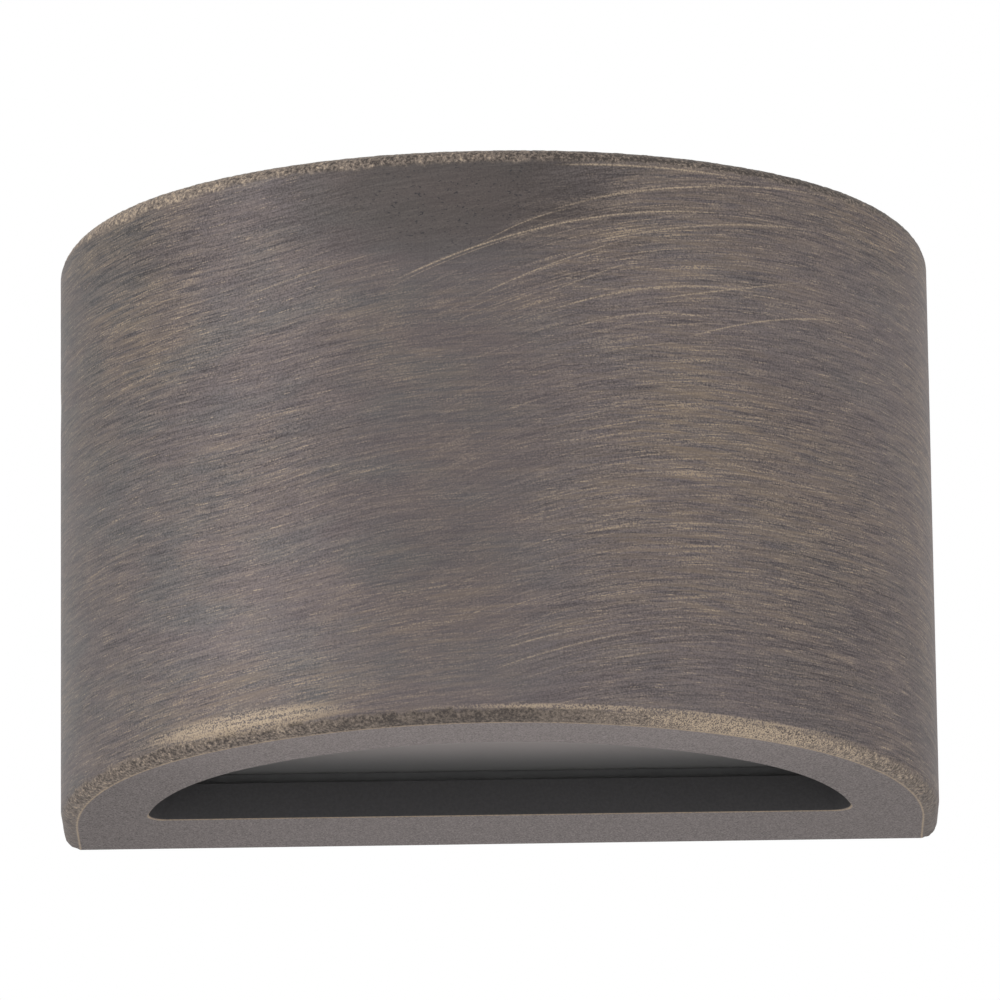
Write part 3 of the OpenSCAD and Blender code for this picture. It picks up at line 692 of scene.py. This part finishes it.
def hood_marks(s, at):
    """What the finish is made of: rubbed strokes of several families, grit, pits and soft patches."""
    u, z = at.u, at.z
    off = s.sub(u, LEAN_U)
    to_left = s.least(off, 0.0)
    bend = s.add(s.mul(off, s.absolute(off), BEND), s.mul(to_left, to_left, BEND_LEFT))
    bent = s.add(z, bend, s.swing(s.noise(22.0, 0.0, offset=3.0), 2.0))
    sweep = s.sub(z, s.add(s.mul(u, SWEEP_RISE), s.mul(u, u, SWEEP_BEND)))
    marks = {name: streaks(s, u, bent, *family) for name, family in STROKES.items()}
    marks |= {name: streaks(s, u, sweep, *family) for name, family in SWEPT_STROKES.items()}
    m = SimpleNamespace(**marks)
    m.cloud = s.noise(1.0, 2.0, 0.6, at=s.vector(s.mul(u, 0.07), s.mul(bent, 0.16), 4.0))
    m.cool = s.noise(1.0, 2.0, 0.6, at=s.vector(s.mul(u, 0.09), s.mul(bent, 0.22), 31.0))
    m.grit = s.noise(0.15, 0.0)
    m.pit = s.noise(0.27, 2.0, 0.7, offset=5.0)
    m.speck = s.noise(0.12, 1.0, 0.7, offset=9.0)
    m.sand = s.noise(0.13, 0.0, offset=11.0)
    m.swept = s.most(*blobs(s, at.x, z, SWEPT))
    m.dull = blob(s, at.x, z, *DULL)
    # Weaker strokes around the middle, and a little weaker towards both sides
    m.calm = s.mul(s.span(s.absolute(s.add(at.x, 4.0)), 3.0, 15.0, 0.38, 1.0, smooth=True),
                   s.span(u, 0.0, 16.0, 1.0, 0.87), s.span(u, -44.0, -28.0, 0.75, 1.0))
    return m


def patina(s, at, m):
    """The dark patina of the wall, lighter and darker along the strokes and in soft patches, two of which
    are a painted highlight at the lower left.
    """
    u = at.u
    cool = s.mul(s.add(s.span(m.cool, 0.42, 0.68), s.span(u, -40.0, -22.0, 0.4, 0.0)),
                 s.span(u, -12.0, 8.0, 1.0, 0.35))
    wall = s.mix(s.least(cool, 1.0), PATINA, PATINA_COOL)
    wall = s.mix(s.mul(m.dull, 0.75), wall, PATINA_DARK)
    straight = s.add(s.swing(m.fine, 0.75), s.swing(m.medium, 0.8), s.swing(m.steep, 0.4),
                     s.swing(m.level, 0.35))
    curved = s.add(s.swing(m.curved, 0.8), s.swing(m.trail, 0.65))
    strokes = s.add(s.mul(straight, s.sub(1.0, s.mul(m.swept, 0.45))), s.swing(m.broad, 0.4),
                    s.swing(m.grit, 0.85), s.mul(curved, m.swept))
    corners = s.mul(s.span(at.z, 15.0, 22.0, smooth=True),
                    s.add(s.span(u, -6.0, 4.0, 0.0, -0.1), s.span(u, -34.0, -24.0, -0.1, 0.0)))
    # Brightness of the wall: strokes, tone patches, and a painted highlight at the lower left
    light = s.add(0.957, s.mul(strokes, m.calm), s.span(u, -42.0, -22.0, -0.025, 0.0, smooth=True),
                  corners, *blobs(s, at.x, at.z, TONE_AND_PAINTED_HIGHLIGHT))
    return s.dim(wall, s.most(light, 0.45))


def rubbed_wall(s, at, m):
    """The wall with its brass-coloured strokes, glints, scratches and pits, and how much brass shows."""
    # Where brass shows through; one patch at the lower left is partly a painted highlight
    worn = s.add(*blobs(s, at.x, at.z, WORN_AND_PAINTED_HIGHLIGHT), s.span(m.cloud, 0.35, 0.7, 0.0, 0.4),
                 s.span(m.broad, 0.4, 0.75, 0.0, 0.35), 0.12, s.mul(m.dull, -1.0))
    worn = s.most(worn, 0.04)
    spark = s.span(m.grit, 0.35, 0.65, 0.2, 1.5)
    tan = s.add(s.span(m.steep, 0.53, 0.72), s.span(m.fine, 0.55, 0.75),
                s.span(m.level, 0.56, 0.75, 0.0, 0.8))
    tan = s.add(s.mul(tan, s.sub(1.0, s.mul(m.swept, 0.5))),
                s.mul(s.span(m.curved, 0.54, 0.72), m.swept, 1.6))
    tan = s.least(s.mul(tan, worn, spark, 0.55), 0.9)
    wall = s.mix(tan, patina(s, at, m), BRASS_WORN)
    wall = s.mix(s.mul(s.span(m.medium, 0.42, 0.68), worn, 0.6), wall, BRASS_TINT)
    glint = s.mul(s.span(m.glint, 0.63, 0.75), spark, m.calm, s.sub(1.0, m.dull), 0.5)
    wall = s.mix(s.least(glint, 0.8), wall, BRASS_BRIGHT)
    scratched = s.add(*(scratch(s, at.u, at.z, *line) for line in SCRATCHES))
    scratched = s.least(s.mul(scratched, s.span(m.grit, 0.35, 0.65, 0.45, 1.2)), 0.8)
    wall = s.mix(scratched, wall, BRASS_BRIGHT)
    # Small dark pits under the top edge
    hole = s.noise(0.22, 1.0, at=s.vmath("MULTIPLY", s.place, (0.65, 0.65, 1.2)), offset=17.0)
    hole = s.mul(s.span(hole, 0.66, 0.7), blob(s, at.u, at.z, (-3.0, 20.5), (13.0, 6.5)))
    return s.mix(s.mul(hole, 0.8), wall, PIT_DARK), tan


def pitted_edges(s, at, m, wall):
    """The wall with its two pitted edges, coarse and dark at the left and finer and brighter at the right,
    and where they are."""
    u, z = at.u, at.z
    lump = s.noise(1.3, 2.0, offset=8.0)
    ragged = s.swing(lump, 0.8)
    low = s.span(s.add(z, ragged), LOW_EDGE - 0.3, LOW_EDGE + 0.1, 1.0, 0.0, smooth=True)
    high = s.add(z, ragged, hump(s, u, -4.0, 20.0, 0.45), hump(s, u, -33.0, 14.0, 0.5))
    high = s.span(high, HIGH_EDGE - 0.1, HIGH_EDGE + 0.4, smooth=True)
    below = s.sub(1.0, high)
    right = s.mul(s.span(u, 0.0, 17.0), s.span(u, 25.0, 44.0, 1.0, 0.0), below)
    middle = s.mul(hump(s, u, 1.0, 20.0), below)
    uneven = s.add(s.mul(s.swing(m.pit, 1.5), s.sub(1.0, s.mul(right, 0.7))), s.swing(lump, 0.35),
                   s.mul(s.swing(m.speck, 1.0), s.add(0.2, s.mul(right, 1.4))))
    uneven = s.mul(uneven, s.add(0.72, s.mul(right, 0.2), s.mul(middle, -0.3)))
    share = s.add(0.5, uneven, s.mul(right, 0.175), s.mul(middle, -0.07),
                  s.mul(high, s.span(u, -34.0, -8.0, 0.1, -0.01)),
                  s.mul(high, s.span(u, 3.0, 12.0, 0.0, -0.09)))
    edge = s.mix(s.span(share, 0.36, 0.7), EDGE_DARK, EDGE_BRIGHT)
    edge = s.mix(s.mul(s.span(share, 0.62, 0.8), 0.9), edge, BRASS_BRIGHT)
    # Plainer towards the rear
    plain = s.mul(s.span(at.y, -16.0, -4.0, 0.0, 0.75), below)
    edge = s.mix(plain, edge, s.mix(0.5, EDGE_DARK, FLAT_FACE))
    edges = s.most(low, high)
    body = s.mix(edges, wall, edge)
    # Rubbed bright along the upper side of the lower edge: partly worn brass, partly a painted highlight.
    rub_and_painted_highlight = s.add(blob(s, u, z, (-22.8, LOW_EDGE + 0.6), (12.0, 1.2)),
                blob(s, u, z, (14.0, LOW_EDGE + 0.08), (24.0, 0.3), 0.9))
    broken = s.add(0.53, s.swing(m.medium, 0.65), s.swing(m.speck, 1.0), s.swing(m.grit, 0.7))
    rub_and_painted_highlight = s.mul(s.least(rub_and_painted_highlight, 1.0), s.span(broken, 0.34, 0.66, 0.05, 1.0), 0.8)
    return s.mix(rub_and_painted_highlight, body, BRASS_BRIGHT), edges


def flat_faces(s, at, m, body):
    """The hood with its matt top and underside, painted lighter towards the front as if lit from there, and
    its machined rear edge, and where it is matt.
    """
    # Sand grain, painted light that makes the flat faces lighter towards the front, and darker towards the
    # far left and a little towards the right
    sand_and_painted_light = s.add(1.0, s.swing(m.sand, 1.4), s.span(at.y, -37.0, -16.0, 0.24, 0.0, smooth=True),
                  s.span(at.x, -36.0, -16.0, -0.14, 0.0, smooth=True),
                  s.span(at.x, 8.0, 30.0, 0.0, -0.04, smooth=True))
    matt = s.mul(s.over(at.height, HALF_H - 0.35), s.span(at.inset, EDGE_R - 0.05, EDGE_R + 0.02))
    body = s.mix(matt, body, s.dim(FLAT_FACE, sand_and_painted_light))
    milled = streaks(s, at.x, at.z, 0.0, 1.6, 0.12, 41.0, 1.0)
    milled = s.add(0.92, s.swing(milled, 0.6), s.swing(m.sand, 0.5))
    return s.mix(s.over(at.y, REAR_Y), body, s.dim(FLAT_FACE, milled)), matt


def bare_lines(s, at, m, body):
    """The hood with broken bare lines along its crisp edges."""
    broken = s.span(m.pit, 0.3, 0.6, 0.35, 1.0)
    near = s.span(s.absolute(s.sub(at.inset, EDGE_R)), 0.02, 0.13, 1.0, 0.0)
    body = s.mix(s.mul(near, s.over(at.height, HALF_H - 0.2), broken), body, BRASS_WORN)
    near = s.span(s.absolute(at.from_mouth), 0.05, 0.16, 1.0, 0.0)
    rim = s.mul(near, s.under(at.z, 0.07 - HALF_H), s.span(at.y, -BAR_D - 4.0, -BAR_D - 1.0), broken)
    return s.mix(rim, body, BRASS_WORN)


def cast_brass():
    """Dark bronzed brass: hand-rubbed wall, pitted rounded edges, matt flat faces, blackened inside, with a
    painted highlight at the lower left of the wall and painted light on the flat faces.
    """
    s = Shade("bronzed_brass")
    at = hood_places(s)
    m = hood_marks(s, at)
    body, tan = rubbed_wall(s, at, m)
    body, edges = pitted_edges(s, at, m, body)
    body, matt = flat_faces(s, at, m, body)
    body = bare_lines(s, at, m, body)
    inside = s.mul(s.over(at.inset, WALL_T - 0.2), s.under(at.y, REAR_Y), s.under(at.height, HALF_H - 0.07))
    body = s.mix(inside, body, s.mix(s.span(m.pit, 0.35, 0.7), SOOT_DARK, SOOT))
    rough = s.add(0.5, s.mul(tan, -0.1), s.swing(m.fine, 0.2))
    rough = s.most(rough, s.mul(matt, 0.6), s.mul(inside, 0.75))
    s.set(Base_Color=body, Metallic=s.mul(s.sub(1.0, inside), 0.3), Roughness=rough,
          Specular_IOR_Level=0.12, Specular_Tint=(0.6, 0.56, 0.52))
    s.bump(s.add(s.mul(m.fine, 0.4), s.mul(m.steep, 0.25), s.mul(m.grit, 0.25),
                 s.mul(m.pit, s.most(edges, inside), 3.0)), 0.5, 0.02)
    return s.mat


housing.data.materials.clear()
housing.data.materials.append(cast_brass())

# Sizes of the marks in the metals, along x, y and z in millimetres, and the colour of dust and dull stains
ROLLED = (3.0, 0.2, 0.2)
TURNED = (0.25, 0.25, 0.25)
DUST = (0.32, 0.3, 0.27)


def metal(name, base, dark, rough, marks_size):
    """Bare metal with rolled or turned marks, duller patches, fine scratches, stains and rubbed edges."""
    s = Shade(name)
    at = s.vector(*(s.div(way, size) for way, size in zip(s.xyz(), marks_size)))
    marks = s.noise(1.0, 3.0, 0.6, at=at)
    dull = s.noise(6.0, 3.0, 0.6)
    nick = s.span(s.noise(0.5, 4.0, 0.75, offset=4.0), 0.6, 0.72)
    stain = s.span(s.noise(1.7, 4.0, 0.7, offset=15.0), 0.58, 0.72)
    rubbed = s.break_edges(0.08)
    look = s.mix(s.span(dull, 0.35, 0.75), base, dark)
    look = s.mix(s.mul(s.span(marks, 0.5, 0.8), 0.35), look, dark)
    look = s.mix(s.mul(nick, 0.3), look, dark)
    look = s.mix(s.mul(stain, 0.3), look, scaled(dark, 0.55))
    look = s.mix(s.mul(rubbed, 0.45), look, scaled(base, 1.5, 0.95))
    uneven = s.span(dull, 0.3, 0.8, rough - 0.05, rough + 0.16)
    s.set(Base_Color=look, Metallic=1.0, Roughness=s.add(uneven, s.mul(marks, 0.08), s.mul(stain, 0.15)))
    s.bump(s.add(marks, s.mul(nick, 0.5)), 0.5, 0.006)
    return s.mat


def zinc_sheet(name, size):
    """Zinc-plated sheet steel: faint many-sided crystals, rolling lines, handling marks, dull stains."""
    s = Shade(name)
    shift = s.noise(size * 0.6, output="Color")
    ragged = s.vmath("ADD", s.place, s.vmath("SCALE", shift, scale=size * 0.5))
    flake = s.xyz(s.voronoi(size, ragged)["Color"])[0]
    small = s.xyz(s.voronoi(size * 0.4, ragged)["Color"])[0]
    lines = s.noise(1.0, 3.0, 0.6, at=s.vmath("MULTIPLY", s.place, (0.3, 7.0, 7.0)))
    dull = s.noise(9.0, 3.0, 0.6)
    stain = s.span(s.noise(4.0, 4.0, 0.7, offset=3.0), 0.55, 0.7)
    mark = s.span(s.noise(1.0, 2.0, 0.5, at=s.vmath("MULTIPLY", s.place, (0.5, 3.0, 9.0))), 0.68, 0.72)
    rubbed = s.break_edges(0.15)
    look = s.mix(flake, (0.46, 0.48, 0.51), (0.64, 0.66, 0.68))
    look = s.mix(s.mul(small, 0.3), look, (0.4, 0.42, 0.45))
    look = s.mix(s.mul(s.span(dull, 0.45, 0.75), 0.5), look, (0.43, 0.43, 0.41))
    look = s.mix(s.mul(stain, 0.4), look, DUST)
    look = s.mix(s.mul(s.most(mark, rubbed), 0.4), look, (0.74, 0.75, 0.76))
    s.set(Base_Color=look, Metallic=1.0,
          Roughness=s.add(s.span(dull, 0.3, 0.7, 0.24, 0.36), s.mul(lines, 0.08), s.mul(flake, 0.08),
                          s.mul(stain, 0.15)))
    s.bump(s.add(lines, s.mul(flake, 0.5), s.mul(mark, 0.8)), 0.4, 0.008)
    return s.mat


def plastic(name, base, shade, rough, grain_size, relief, dusty, gloss=0.4):
    """Moulded plastic, ceramic or rubber: mottled colour, fine surface grain, dust, grime, soft edges."""
    s = Shade(name)
    mottle = s.noise(grain_size * 14, 3.0, 0.6)
    grit = s.noise(grain_size, 3.0, 0.65)
    dust = s.span(s.noise(grain_size * 3, 4.0, 0.7, offset=6.0), 0.58, 0.72)
    grime = s.span(s.noise(3.0, 4.0, 0.7, offset=21.0), 0.5, 0.72)
    rubbed = s.break_edges(0.12)
    pale = tuple(min(0.85, 1.35 * c + 0.01) for c in base)
    look = s.mix(s.span(mottle, 0.3, 0.7), base, shade)
    look = s.mix(s.mul(dust, dusty), look, DUST)
    look = s.mix(s.mul(grime, 0.35), look, scaled(shade, 0.7))
    look = s.mix(s.mul(rubbed, 0.3), look, pale)
    uneven = s.span(mottle, 0.3, 0.7, rough - 0.06, rough + 0.06)
    s.set(Base_Color=look, Roughness=s.add(uneven, s.mul(grit, 0.08), s.mul(grime, 0.1)),
          Specular_IOR_Level=gloss)
    s.bump(grit, 0.5, relief)
    return s.mat


def foam():
    """Black closed-cell foam sheet: small cells of many sizes, some cut open and darkened with painted
    shade in their hollows, lint and pressed patches.
    """
    s = Shade("cell_foam")
    cell = s.voronoi(0.4)["Distance"]
    small = s.voronoi(0.17)["Distance"]
    big = s.noise(5.0, 3.0, 0.6)
    lint = s.span(s.noise(0.5, 4.0, 0.75, offset=12.0), 0.66, 0.72)
    open_cell_shade = s.mul(s.span(cell, 0.0, 0.22, 1.0, 0.0), s.span(s.noise(0.9, 1.0), 0.5, 0.62))
    look = s.mix(s.span(small, 0.0, 0.5), (0.02, 0.02, 0.021), (0.036, 0.036, 0.038))
    look = s.mix(s.mul(s.span(big, 0.35, 0.7), 0.5), look, (0.05, 0.05, 0.051))
    # Painted shade in the hollows of the cut-open cells
    look = s.mix(s.mul(open_cell_shade, 0.7), look, (0.006, 0.006, 0.006))
    look = s.mix(s.mul(lint, 0.35), look, (0.16, 0.155, 0.15))
    s.set(Base_Color=look, Roughness=0.92)
    s.bump(s.add(s.mul(small, 0.5), s.span(cell, 0.0, 0.3), s.mul(big, 0.4)), 0.8, 0.08)
    return s.mat


def satin_glass():
    """Satin-etched glass lens, dusky from the unlit hood behind it, with painted shade that darkens it
    towards the wall.
    """
    s = Shade("satin_glass")
    etch = s.noise(0.12, 2.0, 0.6)
    haze = s.noise(6.0, 2.0)
    # Painted shade: lighter and browner at the front, darker towards the wall, where the rear of the
    # opening shades the lens
    painted_shade_to_wall = s.span(s.xyz()[1], -20.0, -10.0, smooth=True)
    look = s.mix(painted_shade_to_wall, colour(182, 171, 169), colour(119, 118, 118))
    look = s.mix(s.mul(haze, 0.25), look, colour(128, 124, 120))
    s.set(Base_Color=look, Roughness=s.add(s.mul(etch, 0.2), 0.42), IOR=1.5, Transmission_Weight=0.35)
    s.bump(etch, 0.35, 0.01)
    return s.mat


def clear_cover():
    """Clear moulded lamp cover with fine drawn lines and a few dust specks."""
    s = Shade("clear_polymer")
    x, y, z = s.xyz()
    flow = s.noise(1.0, 2.0, at=s.vector(s.div(x, 6.0), y, z))
    dust = s.span(s.noise(0.4, 3.0, 0.7), 0.6, 0.75)
    s.set(Base_Color=s.mix(dust, (0.97, 0.98, 0.98), (0.8, 0.79, 0.76)),
          Roughness=s.add(s.mul(flow, 0.06), s.mul(dust, 0.3)), IOR=1.45, Transmission_Weight=0.96)
    s.bump(flow, 0.15, 0.02)
    return s.mat


def lamp_board_finish():
    """White coated circuit board with glass-fibre edges and faint conductor lines under the coat."""
    s = Shade("coated_board")
    x, y, z = s.xyz()
    across = s.absolute(s.sub(y, LAMP_Y))
    rail = s.span(s.absolute(s.sub(across, RAIL_OFF)), 0.25, 0.35, 1.0, 0.0)
    rim = s.span(across, BOARD_HALF_W - 0.06, BOARD_HALF_W - 0.01)
    weave = s.mul(s.add(s.math("SINE", s.mul(x, 16.0)), s.math("SINE", s.mul(z, 40.0))), 0.25)
    grit = s.noise(0.2, 2.0)
    coat = s.mix(s.mul(rail, 0.35), (0.8, 0.8, 0.77), (0.62, 0.63, 0.58))
    coat = s.mix(s.mul(grit, 0.2), coat, (0.7, 0.7, 0.66))
    fibre = s.mix(s.add(weave, 0.5), (0.45, 0.38, 0.2), (0.58, 0.52, 0.34))
    s.set(Base_Color=s.mix(rim, coat, fibre), Roughness=s.span(grit, 0.3, 0.7, 0.3, 0.42))
    s.bump(s.add(rail, s.mul(grit, 0.2)), 0.5, 0.03)
    return s.mat


def emitter_finish():
    """Light emitters: yellow phosphor window in a white frame."""
    s = Shade("phosphor")
    x, y, _ = s.xyz()
    # The remainder needs a positive number, so it is counted from well left of the lamp
    pitches_left = 11
    start = EMITTER_L / 2 - EMITTER_X + pitches_left * EMITTER_PITCH
    along = s.math("MODULO", s.add(x, start), EMITTER_PITCH)
    off_x = s.absolute(s.sub(along, EMITTER_L / 2))
    off_y = s.absolute(s.sub(y, LAMP_Y))
    half_x, half_y = WINDOW_HALF
    window = s.mul(s.span(off_x, half_x - 0.05, half_x + 0.05, 1.0, 0.0),
                   s.span(off_y, half_y - 0.05, half_y + 0.05, 1.0, 0.0))
    grains = s.noise(0.1, 2.0)
    yellow = s.mix(grains, (0.75, 0.55, 0.06), (0.88, 0.7, 0.14))
    white = s.mix(grains, (0.78, 0.78, 0.74), (0.86, 0.86, 0.83))
    s.set(Base_Color=s.mix(window, white, yellow), Roughness=s.span(window, 0.0, 1.0, 0.45, 0.22))
    s.bump(s.add(s.mul(grains, 0.2), s.sub(1.0, window)), 0.4, 0.05)
    return s.mat


bright_steel = metal("bright_steel", (0.62, 0.61, 0.6), (0.4, 0.39, 0.38), 0.24, TURNED)
black_steel = metal("blackened_steel", (0.1, 0.098, 0.1), (0.05, 0.05, 0.052), 0.36, TURNED)
brass_bare = metal("bare_brass", (0.79, 0.61, 0.32), (0.5, 0.35, 0.16), 0.24, ROLLED)
finishes = {
    "lens": satin_glass(),
    "lens_gasket": plastic("gasket_silicone", (0.1, 0.1, 0.1), (0.125, 0.125, 0.125), 0.6, 0.15, 0.01, 0.1),
    "lens_retainer": metal("black_sheet", (0.12, 0.118, 0.12), (0.06, 0.06, 0.062), 0.4, ROLLED),
    "retainer_screws": bright_steel,
    "left_set_screw": black_steel,
    "right_set_screw": black_steel,
    "mounting_plate": zinc_sheet("zinc_plate", 2.6),
    "wall_gasket": foam(),
    "cable_grommet": plastic("grommet_rubber", (0.022, 0.022, 0.022), (0.04, 0.04, 0.04),
                             0.62, 0.18, 0.015, 0.25),
    "socket_bracket": zinc_sheet("zinc_bracket", 1.8),
    "bracket_screws": bright_steel,
    "lamp_socket": plastic("glazed_steatite", (0.74, 0.72, 0.66), (0.66, 0.63, 0.56),
                           0.24, 0.3, 0.02, 0.12, gloss=0.55),
    "socket_contacts": brass_bare,
    "socket_screws": bright_steel,
    "upper_lead": plastic("red_insulation", (0.38, 0.022, 0.016), (0.3, 0.016, 0.012),
                          0.4, 0.2, 0.008, 0.08),
    "lower_lead": plastic("black_insulation", (0.014, 0.014, 0.015), (0.024, 0.024, 0.025),
                          0.42, 0.2, 0.008, 0.12),
    "terminal_block": plastic("polyamide", (0.72, 0.71, 0.66), (0.64, 0.62, 0.56), 0.42, 0.22, 0.012, 0.06),
    "terminal_clamps": brass_bare,
    "terminal_screws": bright_steel,
    "block_screw": bright_steel,
    "reflector": metal("bright_aluminium", (0.86, 0.87, 0.88), (0.7, 0.71, 0.72), 0.2, ROLLED),
    "reflector_rivets": metal("rivet_aluminium", (0.74, 0.75, 0.76), (0.56, 0.57, 0.58), 0.32, TURNED),
    "lamp_base": plastic("lamp_polymer", (0.72, 0.72, 0.7), (0.66, 0.66, 0.63), 0.38, 0.2, 0.01, 0.05),
    "lamp_pins": metal("nickel_pin", (0.7, 0.67, 0.62), (0.5, 0.47, 0.42), 0.2, ROLLED),
    "lamp_board": lamp_board_finish(),
    "lamp_emitters": emitter_finish(),
    "lamp_cover": clear_cover(),
}
for node, finish in finishes.items():
    nodes[node].data.materials.clear()
    nodes[node].data.materials.append(finish)

# Stage, in metres: the floor's height and half width, its glow as seen, and the light of the surroundings
FLOOR_Z = -1.4
FLOOR_REACH = 6
FLOOR_GLOW = 0.27
WORLD_LIGHT = 0.83


def seen_ray(tree):
    """1 for what the camera sees, straight or by reflection or through glass, and 0 for light on things."""
    path = tree.nodes.new("ShaderNodeLightPath")
    seen = path.outputs["Is Camera Ray"]
    for kind in ("Is Glossy Ray", "Is Transmission Ray"):
        most = tree.nodes.new("ShaderNodeMath")
        most.operation = "MAXIMUM"
        tree.links.new(seen, most.inputs[0])
        tree.links.new(path.outputs[kind], most.inputs[1])
        seen = most.outputs[0]
    return seen


def make_floor():
    """Pale floor far below, which looks white and keeps its shadows."""
    r = FLOOR_REACH
    mesh = bpy.data.meshes.new("floor")
    mesh.from_pydata([(-r, -r, FLOOR_Z), (r, -r, FLOOR_Z), (r, r, FLOOR_Z), (-r, r, FLOOR_Z)],
                     [], [(0, 1, 2, 3)])
    floor = bpy.data.objects.new("floor", mesh)
    bpy.context.scene.collection.objects.link(floor)
    pale = Shade("pale_floor")
    pale.set(Base_Color=(0.9, 0.9, 0.9), Roughness=0.9, Emission_Color=(1, 1, 1),
             Emission_Strength=pale.mul(seen_ray(pale.tree), FLOOR_GLOW))
    mesh.materials.append(pale.mat)


def make_world():
    """Surroundings that light the object evenly and are seen as white."""
    world = bpy.data.worlds.new("studio")
    bpy.context.scene.world = world
    world.use_nodes = True
    tree = world.node_tree
    tree.nodes.clear()
    out = tree.nodes.new("ShaderNodeOutputWorld")
    mix = tree.nodes.new("ShaderNodeMixShader")
    tree.links.new(seen_ray(tree), mix.inputs[0])
    for socket, strength in zip(mix.inputs[1:], (WORLD_LIGHT, 1.0)):
        shine = tree.nodes.new("ShaderNodeBackground")
        shine.inputs["Color"].default_value = (1, 1, 1, 1)
        shine.inputs["Strength"].default_value = strength
        tree.links.new(shine.outputs[0], socket)
    tree.links.new(mix.outputs[0], out.inputs[0])


def add_soft_box(name, azimuth, rise, distance, size, watts):
    """A rectangular studio lamp that shines at the light. Angles are radians, lengths metres."""
    lamp = bpy.data.lights.new(name, "AREA")
    lamp.shape = "RECTANGLE"
    lamp.size, lamp.size_y = size
    lamp.energy = watts
    holder = bpy.data.objects.new(name, lamp)
    toward = direction(azimuth, rise)
    turn = toward.to_track_quat("Z", "Y").to_matrix().to_4x4()
    holder.matrix_world = Matrix.Translation(AIM * MM + toward * distance) @ turn
    bpy.context.scene.collection.objects.link(holder)


make_floor()
make_world()
add_soft_box("left_strip", azimuth=-1.02, rise=0.3, distance=1.5, size=(0.3, 1.2), watts=3.6)
bpy.context.scene.view_settings.view_transform = "Standard"
